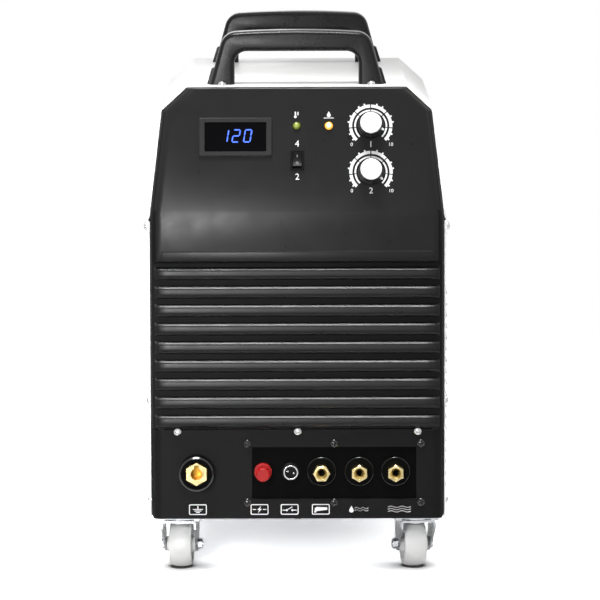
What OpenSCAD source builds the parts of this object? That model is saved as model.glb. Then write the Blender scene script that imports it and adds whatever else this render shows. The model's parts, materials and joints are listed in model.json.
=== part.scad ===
/* [Body] */
// Width of the fascia and of the lower panel
panel_w = 318.4; // [312:0.4:330]
// Length from the lower panel's face to the rear panel's face
body_l = 500; // [480:5:540]
// Height at which the sides start to lean inwards
side_bend_z = 392; // [386:1:396]
// Height of the shoulder corners
shoulder_z = 505; // [500:1:510]
// Half width at the shoulder corners
shoulder_x = 146.3; // [142:0.1:150]
// Height of the panels' flat top
top_z = 529.4; // [524:0.2:540]
// Half width of the panels' flat top
top_x = 119.4; // [114:0.2:124]
// Thickness of the white cover sheets
sheet_t = 1.5; // [1:0.1:2]
// Gap between a panel's edge and the cover round it
panel_gap = 0.8; // [0.5:0.1:1.2]
// Distance from the lower panel's face back to the covers' front edge
cover_setback = 9; // [7:0.5:11]
// Depth of the top cover's flange over the side panels
cover_lap = 20; // [17:1:24]
// Inner radius of the bends in the sheets
bend_r = 3; // [2:0.5:4]

/* [Upper fascia] */
// Height of the fascia's bottom edge
fascia_z = 161; // [158:1:164]
// How far the fascia stands ahead of the lower panel
fascia_proud = 5; // [4.6:0.2:6]
// Wall thickness of the fascia
fascia_t = 3; // [2.5:0.1:3.2]
// Depth of the fascia's side walls
fascia_depth = 34; // [30:1:44]
// Height where the control panel starts to lean back
slope_z = 400; // [398:1:404]
// Backward lean of the control panel, degrees
slope_a = 16; // [14:0.5:18]
// Radius of the upright front edges
edge_r = 12; // [9:0.5:14]

/* [Cooling ribs] */
// Number of ribs across the fascia
rib_count = 9; // [6:1:9]
// Height of the top edge of the top rib
rib_top_z = 335.4; // [333:0.2:337]
// Distance from one rib to the next
rib_pitch = 20.2; // [18:0.1:20.4]
// Height of a rib's upright face
rib_face = 7.6; // [6:0.2:9]
// How far the ribs stand out of their bed
rib_depth = 5.5; // [4:0.1:6]
// Distance from a rib's end to the fascia's side
rib_inset = 4.5; // [3:0.5:8]
// Length over which a rib's end curves back
rib_taper = 17; // [10:1:25]
// Radius of the curve at a rib's end
rib_end_r = 60; // [40:5:90]
// Height of the crease above the ribs
crease_z = 353; // [351:0.5:356]
// Height of the lower edge of the band under the crease
band_z = 345; // [343:0.5:347]

/* [Lower panel] */
// Thickness of the lower panel and the rear panel
panel_t = 2; // [1.5:0.1:2.5]
// Depth of the lower panel's side returns
return_l = 30; // [26:1:40]
// Distance of the connector window from the panel's right side
window_side = 30; // [29.2:0.1:32]
// Width of the connector window
window_w = 179; // [177:0.5:181]
// Bottom edge of the connector window
window_z0 = 83.8; // [82:0.1:86]
// Top edge of the connector window
window_z1 = 140.8; // [138:0.1:142]
// Radius of the lower panel's bottom corners
foot_corner_r = 4; // [2:0.5:6]
// Thickness of the insulating connector plate
plate_t = 5; // [4:0.5:8]
// Height of the row of connectors
connector_z = 114; // [112:0.5:116]

/* [Earth socket] */
// Distance of the earth socket from the panel's left side
earth_side = 49.2; // [45:0.2:53]
// Outer radius of the socket's insulator
earth_r = 19; // [17:0.5:21]
// How far the insulator stands out of the panel
earth_reach = 21; // [16:0.5:24]
// Width across the flats of the socket's brass
earth_af = 22; // [19:0.5:23]
// Radius of the plug's hole
earth_bore_r = 6.5; // [6:0.1:7]
// Depth of the plug's hole
earth_bore_l = 26; // [22:1:30]

/* [Pilot post] */
// Distance of the pilot arc post from the window's left edge
post_inset = 12; // [11:0.1:14]
// How far the post stands out of the lower panel
post_reach = 28; // [26:0.5:34]
// Radius of the post's screwed knob
post_knob_r = 7.6; // [6.5:0.1:8.5]
// Radius of the post's collar
post_collar_r = 9.5; // [9:0.1:10.5]

/* [Switch socket] */
// Distance of the torch switch socket from the window's left edge
switch_inset = 42.2; // [40:0.1:44]
// Outer radius of the socket's threaded shell
switch_r = 8; // [7.5:0.1:8.5]
// How far the shell stands out of the connector plate
switch_reach = 11; // [9:0.5:13]

/* [Fittings] */
// Distance of the torch fitting from the window's left edge
torch_inset = 75.7; // [74:0.1:77]
// Distance of the water fitting from the window's left edge
water_inset = 116.8; // [115:0.1:119]
// Distance of the air fitting from the window's left edge
air_inset = 156.3; // [154:0.1:158]
// Width across the flats of a fitting's hexagon
fitting_af = 16.3; // [14:0.1:18]
// Length of a fitting's hexagon
fitting_l = 16; // [13:0.5:18]
// Radius of a fitting's passage
fitting_bore_r = 2.5; // [2:0.1:3]
// Radius of the insulating bushing's flange
bushing_r = 16; // [14:0.5:17.5]
// Thickness of the bushing's flange
bushing_t = 5; // [4:0.5:7]

/* [Controls] */
// Place of the display across the control panel
display_x = -66.5; // [-70:0.5:-64]
// Height of the display's centre
display_z = 477.8; // [474:0.2:481]
// Width of the display's bezel
display_w = 79.9; // [76:0.1:84]
// Height of the display's bezel along the slope
display_h = 42.8; // [40:0.2:45]
// Width of the display's window
glass_w = 67; // [60:0.5:70]
// Height of the display's window along the slope
glass_h = 32.4; // [29:0.2:35]
// Height of the two signal lamps
lamp_z = 489.6; // [486:0.2:492]
// Place of the temperature lamp across the panel
temp_x = 0; // [-2:0.1:2]
// Place of the water lamp across the panel
water_lamp_x = 34.8; // [33:0.1:37]
// Radius of a signal lamp's rim
lamp_r = 4.75; // [4:0.05:5.5]
// Place of the mode switch across the panel
rocker_x = 0.4; // [-2:0.1:2]
// Height of the mode switch
rocker_z = 453.2; // [451:0.2:455]
// Width of the mode switch's frame
rocker_w = 15; // [14:0.1:16]
// Height of the mode switch's frame along the slope
rocker_h = 21; // [20:0.1:22]
// Tilt between the rocker's two positions, degrees
rocker_throw = 20; // [16:1:22]
// Place of the two dials across the panel
dial_x = 80.3; // [78:0.1:84]
// Height of the upper dial, for the current
current_z = 489.6; // [487:0.1:492]
// Height of the lower dial, for the time
time_z = 440.4; // [437:0.1:443]
// Radius of a knob's white cap
cap_r = 11.6; // [10.5:0.1:12]
// Height of a knob above the panel
knob_h = 19.5; // [17:0.5:22]
// Radius of a knob's skirt
skirt_r = 14; // [13:0.1:15.5]
// Radius of a potentiometer's shaft
shaft_r = 3; // [2.5:0.1:3.2]
// Angle of the current knob's pointer, clockwise from the top
current_point = 110; // [0:5:135]
// Angle of the time knob's pointer, clockwise from the top
time_point = 124; // [0:5:135]

/* [Handles] */
// Distance from the lower panel's face to the front handle
front_handle_setback = 63; // [56:1:76]
// Distance from the rear panel's face to the rear handle
rear_handle_setback = 44; // [36:1:60]
// Half width of a handle at its feet
handle_foot_x = 95; // [90:0.5:100]
// Half width of a handle at its upper corners
handle_top_x = 79.5; // [76:0.5:84]
// Height of a handle at its upper corners
handle_h = 56.5; // [52:0.5:64]
// Rise of a handle's bar at the middle
handle_crown = 2.8; // [1:0.2:6]
// Half width of the hand opening
grip_x = 67.9; // [62:0.1:70]
// Height of the hand opening
grip_h = 36.3; // [32:0.1:38]
// Depth of a handle from front to back
handle_depth = 30; // [26:1:34]
// Rounding of a handle's edges
handle_bevel = 5; // [3:0.5:6]

/* [Casters] */
// Overall height of a caster
caster_h = 62; // [61:0.5:66]
// Distance of a caster's swivel from the panel's side
caster_side = 29.4; // [29.2:0.2:34]
// Distance of a caster's swivel from the body's end
caster_end = 39; // [35:1:50]
// Side of a caster's square top plate
caster_plate = 56; // [54:1:58]
// Radius of a wheel
wheel_r = 25; // [23:0.5:25.5]
// Width of a wheel's tread
wheel_w = 24.5; // [20:0.5:26]
// Distance from the swivel back to the wheel's axle
trail = 21; // [18:0.5:22]
// Half width over a caster's fork
fork_half = 19.5; // [18.5:0.1:20.5]
// Swing of the front left caster, degrees
front_left_yaw = -4; // [-20:1:20]
// Swing of the front right caster, degrees
front_right_yaw = 8; // [-20:1:20]

/* [Side louvres] */
// Number of louvres in each column
louvre_count = 18; // [10:1:18]
// Distance from one louvre to the next
louvre_pitch = 12.5; // [12:0.1:13]
// Height of the lowest louvre's lip
louvre_z = 92; // [88:1:96]
// Height of a louvre's hood
louvre_h = 8; // [6:0.5:9]
// How far a louvre's lip stands out
louvre_out = 2.4; // [1.8:0.1:3]
// Length of a louvre
louvre_l = 140; // [100:5:150]
// Distance from the covers' end to the louvres
louvre_margin = 24; // [24:1:30]

/* [Rear] */
// Side of a fan's square frame
fan_size = 120; // [110:1:124]
// Depth of a fan's frame
fan_depth = 38; // [32:1:42]
// Distance between a fan's screw holes
fan_hole_pitch = 105; // [98:0.5:106]
// Height of the upper fan's axis
upper_fan_z = 392; // [388:1:400]
// Height of the lower fan's axis
lower_fan_z = 256; // [246:1:262]
// Radius of a fan's rotor
rotor_r = 55.5; // [50:0.5:56]
// Number of blades on a fan's rotor
blade_count = 7; // [5:1:9]
// Place of the mains switch across the rear panel
mains_x = 72; // [66:1:76]
// Height of the mains switch
mains_z = 488; // [486:1:492]
// Place of the cable gland and air inlet across the rear panel
service_x = 88; // [80:1:96]
// Height of the cable gland and of the air inlet
service_z = 118; // [108:1:130]

/* [Hidden] */
$fn = 48;

// Clearance of a part that turns on a pin, and of a screw in its hole
fit = 0.05;
// Overlap that joins two solids of one piece
bite = 0.5;
// Excess of a cutting solid past the wall it cuts
over = 1;
// Segments in the rounding of an edge
edge_steps = 6;
// Segments in the bend of a sheet
bend_steps = 4;

base_z = caster_h;
front_y = -body_l / 2;
rear_y = body_l / 2;
fascia_y = front_y - fascia_proud;
half_w = panel_w / 2;
window_x1 = half_w - window_side;
window_x0 = window_x1 - window_w;
earth_x = earth_side - half_w;
post_x = window_x0 + post_inset;
switch_x = window_x0 + switch_inset;
torch_x = window_x0 + torch_inset;
water_x = window_x0 + water_inset;
air_x = window_x0 + air_inset;
caster_x = half_w - caster_side;
caster_y = body_l / 2 - caster_end;
wall_in = half_w + panel_gap;
wall_out = wall_in + sheet_t;
flange_out = wall_out + sheet_t;
cover_top = top_z + panel_gap + sheet_t;
cover_y = front_y + cover_setback;

// Points and outlines. A path is a list of [u, v] points.
function unit(v) = v / norm(v);
function left_of(a, b) = let (d = unit(b - a)) [-d.y, d.x];
function short_turn(a) = a - 360 * round(a / 360);
function arc_points(centre, r, a0, a1, steps) =
    [for (i = [0:steps]) let (a = a0 + (a1 - a0) * i / steps) centre + r * [cos(a), sin(a)]];
// The corner b between a and c, rounded to radius r.
function corner(a, b, c, r, steps) =
    r <= 0 ? [b] :
    let (u = unit(a - b), v = unit(c - b), half = acos(u * v) / 2)
    let (centre = b + unit(u + v) * r / sin(half))
    let (p = b + u * r / tan(half) - centre, q = b + v * r / tan(half) - centre)
    let (start = atan2(p.y, p.x))
    arc_points(centre, r, start, start + short_turn(atan2(q.y, q.x) - start), steps);
// An open path with its inner corners rounded to radius r.
function bent(path, r) =
    concat([path[0]],
        [for (i = [1:len(path) - 2]) each corner(path[i - 1], path[i], path[i + 1], r, bend_steps)],
        [path[len(path) - 1]]);
// A closed loop of [u, v, r] corners, each rounded to its own radius r.
function rounded(loop, steps) =
    let (n = len(loop), flat = [for (p = loop) [p.x, p.y]])
    [for (i = [0:n - 1]) each corner(flat[(i + n - 1) % n], flat[i], flat[(i + 1) % n], loop[i].z, steps)];
// The mitred step that moves point i of an open path one unit to the path's left.
function left_step(path, i) =
    let (n = len(path) - 1)
    i == 0 ? left_of(path[0], path[1]) :
    i == n ? left_of(path[n - 1], path[n]) :
    let (m = left_of(path[i - 1], path[i]) + left_of(path[i], path[i + 1])) 2 * m / (m * m);
// The section of a folded sheet of thickness t whose right-hand face follows an open path.
function strip(path, t) =
    concat(path, [for (i = [len(path) - 1:-1:0]) path[i] + t * left_step(path, i)]);
// A closed anticlockwise loop moved outwards by d.
function grown(loop, d) =
    let (n = len(loop))
    [for (i = [0:n - 1])
        let (m = -left_of(loop[(i + n - 1) % n], loop[i]) - left_of(loop[i], loop[(i + 1) % n]))
        loop[i] + d * 2 * m / (m * m)];
// An upright rectangle centred on the origin, as a loop of rounded corners.
function box_loop(w, h, r) =
    rounded([[-w / 2, -h / 2, r], [w / 2, -h / 2, r], [w / 2, h / 2, r], [-w / 2, h / 2, r]], bend_steps);

// The body's cross-section from height z0 up, seen from the front.
function body_outline(z0) =
    [[-half_w, z0], [half_w, z0], [half_w, side_bend_z], [shoulder_x, shoulder_z], [top_x, top_z],
        [-top_x, top_z], [-shoulder_x, shoulder_z], [-half_w, side_bend_z]];
// Half width of the body at height z.
function half_at(z) =
    lookup(z, [[base_z, half_w], [side_bend_z, half_w], [shoulder_z, shoulder_x], [top_z, top_x]]);
// The fascia's front face at height z.
function front_at(z) = fascia_y + max(0, z - slope_z) * tan(slope_a);

// Places and extrusions. Each places its children with their own +Z pointing out of the named face.
module along_y(y0, y1) { translate([0, y1, 0]) rotate([90, 0, 0]) linear_extrude(y1 - y0) children(); }
module along_x(x0, x1) { translate([x0, 0, 0]) rotate([90, 0, 90]) linear_extrude(x1 - x0) children(); }
module on_front(x, z) { translate([x, front_y, z]) rotate([90, 0, 0]) children(); }
module on_plate(x) { translate([x, front_y + panel_t, connector_z]) rotate([90, 0, 0]) children(); }
module on_slope(x, z) { translate([x, front_at(z), z]) rotate([90 - slope_a, 0, 0]) children(); }
module on_rear(x, z) { translate([x, rear_y, z]) rotate([90, 0, 180]) children(); }
module both_sides() { children(); mirror([1, 0, 0]) children(); }
module disc(r, z0, z1) { translate([0, 0, z0]) cylinder(r = r, h = z1 - z0); }
module hexagon(af, z0, z1) { translate([0, 0, z0]) cylinder(r = af / sqrt(3), h = z1 - z0, $fn = 6); }
module block(w, h, z0, z1) { translate([-w / 2, -h / 2, z0]) cube([w, h, z1 - z0]); }

// A solid that joins rings of equal length, listed from one end to the other. Point i of a ring and point i
// from its end lie across from each other.
module loft(rings) {
    n = len(rings[0]);
    last = len(rings) - 1;
    top = last * n;
    sides = [for (j = [0:last - 1], i = [0:n - 1]) let (k = (i + 1) % n)
        each [[j * n + i, j * n + k, (j + 1) * n + k], [j * n + i, (j + 1) * n + k, (j + 1) * n + i]]];
    ends = [for (i = [0:n / 2 - 2]) let (k = n - 1 - i)
        each [[k, k - 1, i + 1, i], [top + i, top + i + 1, top + k - 1, top + k]]];
    polyhedron([for (ring = rings) each ring], concat(sides, ends));
}

// Screws. A pan head stands on z = 0 and the shank runs down from it.
screw_r = 2.5;
screw_head_r = 4.4;
screw_head_h = 3.4;
screw_l = 12;
module pan_screw(head_r, head_h, shank_r, shank_l) {
    rim_h = head_h * 0.45;
    disc(head_r, 0, rim_h);
    translate([0, 0, rim_h]) cylinder(r1 = head_r, r2 = head_r * 0.6, h = head_h - rim_h);
    disc(shank_r, -shank_l, bite);
}

// ---- Sheet metal body ----
tray_gap = 0.3;
tray_flange_h = 12;
caster_hole = 19;
caster_bolt_r = 3;
caster_hole_r = caster_bolt_r + 0.2;
vent_count = 6;
vent_pitch = 26;
vent_w = 6;
vent_l = 90;
base_screw_y = body_l / 2 - 12;

// The places of the four casters' swivels.
module at_casters() {
    for (x = [-caster_x, caster_x], y = [-caster_y, caster_y])
        translate([x, y, 0]) children();
}

module at_caster_holes() {
    at_casters()
        for (x = [-caster_hole, caster_hole], y = [-caster_hole, caster_hole])
            translate([x, y, 0]) children();
}

tray_half = half_w - panel_t - tray_gap;

module base_tray() {
    path = bent([[-tray_half, base_z + tray_flange_h], [-tray_half, base_z], [tray_half, base_z],
        [tray_half, base_z + tray_flange_h]], bend_r);
    tray_end = rear_y - panel_t - tray_gap;
    color("dimgray") difference() {
        along_y(-tray_end, tray_end) polygon(strip(path, sheet_t));
        at_caster_holes() disc(caster_hole_r, base_z - over, base_z + sheet_t + over);
        for (i = [0:vent_count - 1])
            translate([0, (i - (vent_count - 1) / 2) * vent_pitch, 0])
                block(vent_l, vent_w, base_z - over, base_z + sheet_t + over);
        for (y = [-base_screw_y, base_screw_y])
            translate([0, y, 0]) disc(screw_r + fit, base_z - over, base_z + sheet_t + over);
        both_sides() translate([half_w, front_y, 0])
            block(2 * edge_r, 2 * edge_r, base_z - over, base_z + tray_flange_h + over);
    }
}

// Everything ahead of a plane that follows the front at the given distance behind the lower panel's face.
module ahead_of(setback) {
    y = front_y + setback;
    lean = tan(slope_a);
    far = front_y - 2 * panel_w;
    along_x(-panel_w, panel_w)
        polygon([[far, 0], [y, 0], [y, slope_z], [y + (2 * body_l - slope_z) * lean, 2 * body_l],
            [far, 2 * body_l]]);
}

side_screw_y = 20;
side_screw_zs = [80, 190];
lap_screw_z = side_bend_z - cover_lap / 2 - 1;

// The places of the side screws, each pointing out of the side at half width x.
module at_side_screws(x, zs) {
    both_sides()
        for (z = zs, y = [front_y + side_screw_y, rear_y - side_screw_y])
            translate([x, y, z]) rotate([0, 90, 0]) children();
}

handle_screw_gap = 5.5;
front_handle_y = front_y + front_handle_setback;
rear_handle_y = rear_y - rear_handle_setback;
leg_x = (grip_x + handle_foot_x) / 2;

module at_top_screws() {
    both_sides()
        for (y = [front_handle_y - handle_screw_gap, rear_y - side_screw_y])
            translate([leg_x, y, 0]) children();
}

module at_handle_bolts() {
    both_sides()
        for (y = [front_handle_y + handle_depth / 2, rear_handle_y - handle_depth / 2])
            translate([leg_x, y, 0]) children();
}

handle_bolt_r = 3;
handle_bolt_l = 20;

module top_cover() {
    inner = grown(body_outline(base_z), panel_gap);
    knee = inner[7];
    left = [[knee.x - sheet_t, side_bend_z - cover_lap], [knee.x - sheet_t, side_bend_z - 2 * sheet_t], knee,
        inner[6], inner[5]];
    path = bent(concat(left, [for (i = [4:-1:0]) [-left[i].x, left[i].y]]), bend_r);
    color("whitesmoke") difference() {
        along_y(front_y, rear_y) polygon(strip(path, sheet_t));
        ahead_of(cover_setback);
        at_side_screws(0, [lap_screw_z]) disc(screw_r + fit, wall_in, flange_out + over);
        at_top_screws() disc(screw_r + fit, cover_top - 2 * sheet_t, cover_top + over);
        at_handle_bolts() disc(handle_bolt_r + fit, cover_top - 2 * sheet_t, cover_top + over);
    }
}

louvre_step_w = 1;
side_panel_top = side_bend_z - 3 * sheet_t;
side_panel_z0 = base_z - 2;

// The section of one louvre and of the flat strip over it, down from height z.
function louvre_section(z) =
    [[wall_in, z + louvre_pitch - louvre_h], [wall_out, z + louvre_pitch - louvre_h], [wall_out, z],
        [wall_out + louvre_out, z - louvre_h], [wall_in + louvre_out, z - louvre_h], [wall_in, z]];

module louvre_column(y0) {
    y1 = y0 + louvre_l;
    tops = [for (i = [0:louvre_count - 1]) louvre_z + louvre_h + i * louvre_pitch];
    along_y(y0, y1) for (z = tops) polygon(louvre_section(z));
    for (y = [y0, y1 - louvre_step_w])
        along_y(y, y + louvre_step_w)
            for (z = tops)
                polygon([[wall_in, z], [wall_out, z], [wall_out + louvre_out, z - louvre_h],
                    [wall_in, z - louvre_h]]);
}

module right_side_sheet() {
    columns = [cover_y + louvre_margin, rear_y - louvre_margin - louvre_l];
    window_top = louvre_z + louvre_count * louvre_pitch;
    difference() {
        along_y(cover_y, rear_y)
            polygon([[wall_in, side_panel_z0], [wall_out, side_panel_z0], [wall_out, side_panel_top],
                [wall_in, side_panel_top]]);
        for (y = columns)
            translate([wall_in - over, y, louvre_z])
                cube([sheet_t + 2 * over, louvre_l, window_top - louvre_z]);
        at_side_screws(0, concat(side_screw_zs, [lap_screw_z]))
            disc(screw_r + fit, wall_in - over, wall_out + over);
    }
    for (y = columns) louvre_column(y);
}

module right_side_panel() { color("whitesmoke") right_side_sheet(); }
module left_side_panel() { color("whitesmoke") mirror([1, 0, 0]) right_side_sheet(); }

// The tab on the tray floor that holds the foot of the lower panel or of the rear panel.
foot_tab_half = 60;
module foot_tab(end) {
    inner = body_l / 2 - return_l;
    difference() {
        translate([-foot_tab_half, end < 0 ? front_y + bite : inner, base_z + sheet_t])
            cube([2 * foot_tab_half, return_l - bite, panel_t]);
        translate([0, end * base_screw_y, 0]) disc(screw_r + fit, base_z, base_z + sheet_t + panel_t + over);
    }
}

// The rear panel is a plate with returns forward inside the covers.
fan_bore_r = fan_size / 2 - 2;
fan_screw_r = 2;
fan_screw_head_r = 3.6;
fan_screw_hole_r = fan_screw_r + fit;
gland_r = 12.5;
inlet_r = 6.5;
mains_r = 11;

module at_fans() {
    for (z = [upper_fan_z, lower_fan_z]) on_rear(0, z) children();
}

module at_fan_screws() {
    at_fans()
        for (x = [-fan_hole_pitch / 2, fan_hole_pitch / 2], y = [-fan_hole_pitch / 2, fan_hole_pitch / 2])
            translate([x, y, 0]) children();
}

module rear_panel() {
    through = panel_t + over;
    color([0.13, 0.13, 0.14]) {
        difference() {
            along_y(rear_y - return_l, rear_y) polygon(body_outline(base_z));
            along_y(rear_y - return_l - over, rear_y - panel_t)
                polygon(grown(body_outline(base_z - 2 * panel_t), -panel_t));
            at_fans() disc(fan_bore_r, -through, over);
            at_fan_screws() disc(fan_screw_hole_r, -through, over);
            on_rear(mains_x, mains_z) disc(mains_r, -through, over);
            on_rear(service_x, service_z) disc(gland_r, -through, over);
            on_rear(-service_x, service_z) disc(inlet_r, -through, over);
            at_side_screws(0, concat(side_screw_zs, [lap_screw_z]))
                disc(screw_r + fit, half_w - 10, half_w + over);
            at_top_screws() disc(screw_r + fit, top_z - 2 * panel_t, top_z + over);
        }
        foot_tab(1);
    }
}

// ---- Moulded fascia ----
// Plan outline of the fascia at height z: open corners behind, rounded upright edges in front.
function fascia_ring(z, inset, depth, back, r) =
    let (half = half_at(z) - inset, y = front_at(z) + depth)
    let (right = arc_points([half - r, y + r], r, 0, -90, edge_steps))
    let (left = arc_points([r - half, y + r], r, -90, -180, edge_steps))
    [for (p = concat([[half, front_at(z) + back]], right, left, [[-half, front_at(z) + back]])) [p.x, p.y, z]];

lip_t = 1.2;
bed_y = fascia_y + rib_depth;
rib_half = half_w - rib_inset;

// The recess that the ribs stand in, under the crease.
module rib_bed() {
    along_x(-panel_w, panel_w)
        polygon([[fascia_y - over, crease_z], [fascia_y, crease_z], [fascia_y + lip_t, band_z],
            [bed_y, band_z - rib_depth / 2], [bed_y, fascia_z + 3 * lip_t],
            [fascia_y + lip_t, fascia_z + lip_t], [fascia_y - over, fascia_z + lip_t]]);
}

// The section of one rib whose top edge is at height z: a flat face that rounds away below.
function rib_section(z) =
    concat([[bed_y + bite, z + lip_t], [fascia_y + lip_t / 2, z], [fascia_y + lip_t / 4, z - lip_t / 4],
        [fascia_y, z - lip_t]],
        arc_points([bed_y, z - rib_face], rib_depth, 180, 270, edge_steps),
        [[bed_y + bite, z - rib_face - rib_depth]]);

module ribs() {
    turn = asin(rib_taper / rib_end_r);
    c = [rib_half - rib_taper, fascia_y + rib_end_r];
    right = arc_points(c, rib_end_r, -90, -90 + turn, edge_steps);
    left = arc_points([-c.x, c.y], rib_end_r, -90 - turn, -90, edge_steps);
    intersection() {
        along_x(-rib_half, rib_half)
            for (i = [0:rib_count - 1]) polygon(rib_section(rib_top_z - i * rib_pitch));
        translate([0, 0, fascia_z])
            linear_extrude(slope_z - fascia_z)
                polygon(concat(left, right, [[rib_half, bed_y + over], [-rib_half, bed_y + over]]));
    }
}

rocker_cut_w = rocker_w - 2;
rocker_cut_h = rocker_h - 2;
bushing_thread_r = 4.5;
fascia_screw_z = fascia_z - 3;
fascia_screw_side = 28.5;
fascia_screw_xs = [fascia_screw_side - half_w, 0, half_w - fascia_screw_side];
fascia_screw_r = 4.4;

module fascia_outer() {
    loft([for (z = [fascia_z, side_bend_z, slope_z, shoulder_z, top_z])
        fascia_ring(z, 0, 0, fascia_depth, edge_r)]);
}

module fascia_inner() {
    deep = rib_depth + fascia_t;
    r = edge_r - fascia_t;
    stations = [[fascia_z + fascia_t, deep], [band_z, deep], [crease_z + deep, fascia_t],
        [side_bend_z, fascia_t], [slope_z, fascia_t], [shoulder_z - fascia_t / 2, fascia_t],
        [top_z - fascia_t, fascia_t]];
    loft([for (s = stations) fascia_ring(s[0], fascia_t, s[1], fascia_depth + over, r)]);
}

module upper_fascia() {
    through = fascia_t + 2 * over;
    color([0.16, 0.16, 0.17]) difference() {
        union() {
            difference() {
                fascia_outer();
                rib_bed();
            }
            ribs();
        }
        fascia_inner();
        on_slope(display_x, display_z) block(display_w - 4, display_h - 4, -through, over);
        on_slope(rocker_x, rocker_z) block(rocker_cut_w, rocker_cut_h, -through, over);
        for (x = [temp_x, water_lamp_x]) on_slope(x, lamp_z) disc(lamp_r - 0.6, -through, over);
        for (z = [current_z, time_z]) on_slope(dial_x, z) disc(bushing_thread_r + fit, -through, over);
        for (x = fascia_screw_xs)
            on_front(x, fascia_screw_z) disc(fascia_screw_r + over, -fascia_depth, fascia_proud - lip_t);
        at_side_screws(0, [side_screw_zs[1], lap_screw_z]) disc(screw_r + fit, half_w - 10, half_w + over);
        at_top_screws() disc(screw_r + fit, top_z - 2 * fascia_t, top_z + over);
    }
}

// ---- Lower panel and its connectors ----
plate_margin = 12;
plate_screw_dx = 5;
plate_screw_dz = 3.9;
plate_screw_r = 2;
plate_screw_head_r = 4.5;
plate_screw_xs = [window_x0 - plate_screw_dx, (window_x0 + window_x1) / 2, window_x1 + plate_screw_dx];
plate_screw_zs = [window_z0 - plate_screw_dz, window_z1 + plate_screw_dz];
earth_hole_r = earth_r - 5;
post_stem_r = 4;
fitting_stem_r = 6;
bushing_stem_r = 10;

module at_plate_screws() {
    for (x = plate_screw_xs, z = plate_screw_zs) on_front(x, z) children();
}

module at_fittings() {
    for (x = [torch_x, water_x, air_x]) on_plate(x) children();
}

// Plan section of the lower panel: a front wall with rounded corners and two returns.
function lower_section() =
    let (r = edge_r, y = front_y)
    let (right = arc_points([half_w - r, y + r], r, -90, 0, edge_steps))
    let (left = arc_points([r - half_w, y + r], r, -180, -90, edge_steps))
    concat([[-half_w, y + return_l]], left, right, [[half_w, y + return_l]]);

module lower_panel() {
    section = lower_section();
    panel_top = fascia_z - panel_gap;
    color([0.14, 0.14, 0.15]) difference() {
        union() {
            translate([0, 0, base_z]) linear_extrude(panel_top - base_z) polygon(strip(section, panel_t));
            foot_tab(-1);
        }
        difference() {
            along_y(front_y - over, front_y + return_l + over)
                translate([-panel_w, base_z - over]) square([2 * panel_w, foot_corner_r + over]);
            along_y(front_y - 2 * over, front_y + return_l + 2 * over)
                polygon(rounded([[-half_w, base_z, foot_corner_r], [half_w, base_z, foot_corner_r],
                    [half_w, panel_top, 0], [-half_w, panel_top, 0]], edge_steps));
        }
        translate([window_x0, front_y - over, window_z0])
            cube([window_x1 - window_x0, panel_t + 2 * over, window_z1 - window_z0]);
        on_front(earth_x, connector_z) disc(earth_hole_r, -panel_t - over, over);
        at_plate_screws() disc(plate_screw_r + fit, -panel_t - over, over);
        for (x = fascia_screw_xs) on_front(x, fascia_screw_z) disc(screw_r + fit, -panel_t - over, over);
        at_side_screws(0, [side_screw_zs[0]]) disc(screw_r + fit, half_w - 10, half_w + over);
    }
}

module connector_plate() {
    face_y = front_y + panel_t;
    plate_top = min(window_z1 + plate_margin, fascia_screw_z - screw_r - over);
    color([0.06, 0.06, 0.06]) difference() {
        translate([window_x0 - plate_margin, face_y, window_z0 - plate_margin])
            cube([window_x1 - window_x0 + 2 * plate_margin, plate_t, plate_top - window_z0 + plate_margin]);
        at_plate_screws() disc(plate_screw_r + fit, -panel_t - plate_t - over, -panel_t + over);
        on_plate(post_x) disc(post_stem_r + fit, -plate_t - over, over);
        on_plate(switch_x) disc(switch_r + fit, -plate_t - over, over);
        at_fittings() disc(bushing_stem_r + fit, -plate_t - over, over);
    }
}

module connector_plate_screws() {
    color([0.1, 0.1, 0.1])
        at_plate_screws() pan_screw(plate_screw_head_r, 3, plate_screw_r, panel_t + plate_t + 4);
}

module earth_socket_insulator() {
    hole = earth_af / sqrt(3) + fit;
    wall = 2;
    color([0.08, 0.08, 0.08]) on_front(earth_x, connector_z) difference() {
        union() {
            disc(earth_r, 0, earth_reach - wall);
            translate([0, 0, earth_reach - wall]) cylinder(r1 = earth_r, r2 = earth_r - wall, h = wall);
            disc(earth_hole_r - fit, -panel_t - 8, bite);
        }
        disc(earth_r - 2.5, earth_reach - wall, earth_reach + over);
        disc(hole, -panel_t - 8 - over, earth_reach + over);
    }
}

module earth_socket_brass() {
    face = earth_reach - 1;
    key_w = 5;
    key_reach = earth_bore_r + 3;
    color("goldenrod") on_front(earth_x, connector_z) difference() {
        union() {
            rotate(30) hexagon(earth_af, -panel_t - 8 - bite, face);
            disc(earth_af / 2 + 2, -panel_t - 12, -panel_t - 8);
            disc(5, -panel_t - 34, -panel_t - 12 + bite);
        }
        disc(earth_bore_r, face - earth_bore_l, face + over);
        translate([-key_w / 2, 0, face - earth_bore_l / 2]) cube([key_w, key_reach, earth_bore_l]);
    }
}

post_face = panel_t + post_reach;
post_collar_h = 8;
post_stud_r = 2.5;
post_hole_l = 12;

module pilot_post_base() {
    color("firebrick") on_plate(post_x) {
        difference() {
            union() {
                disc(post_collar_r, 0, post_collar_h);
                disc(post_stem_r, -plate_t - 10, bite);
            }
            disc(post_stud_r + fit, -plate_t - 10 - over, post_collar_h + over);
        }
        disc(post_stud_r, -plate_t - 20, post_collar_h + post_hole_l - 1);
    }
}

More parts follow.
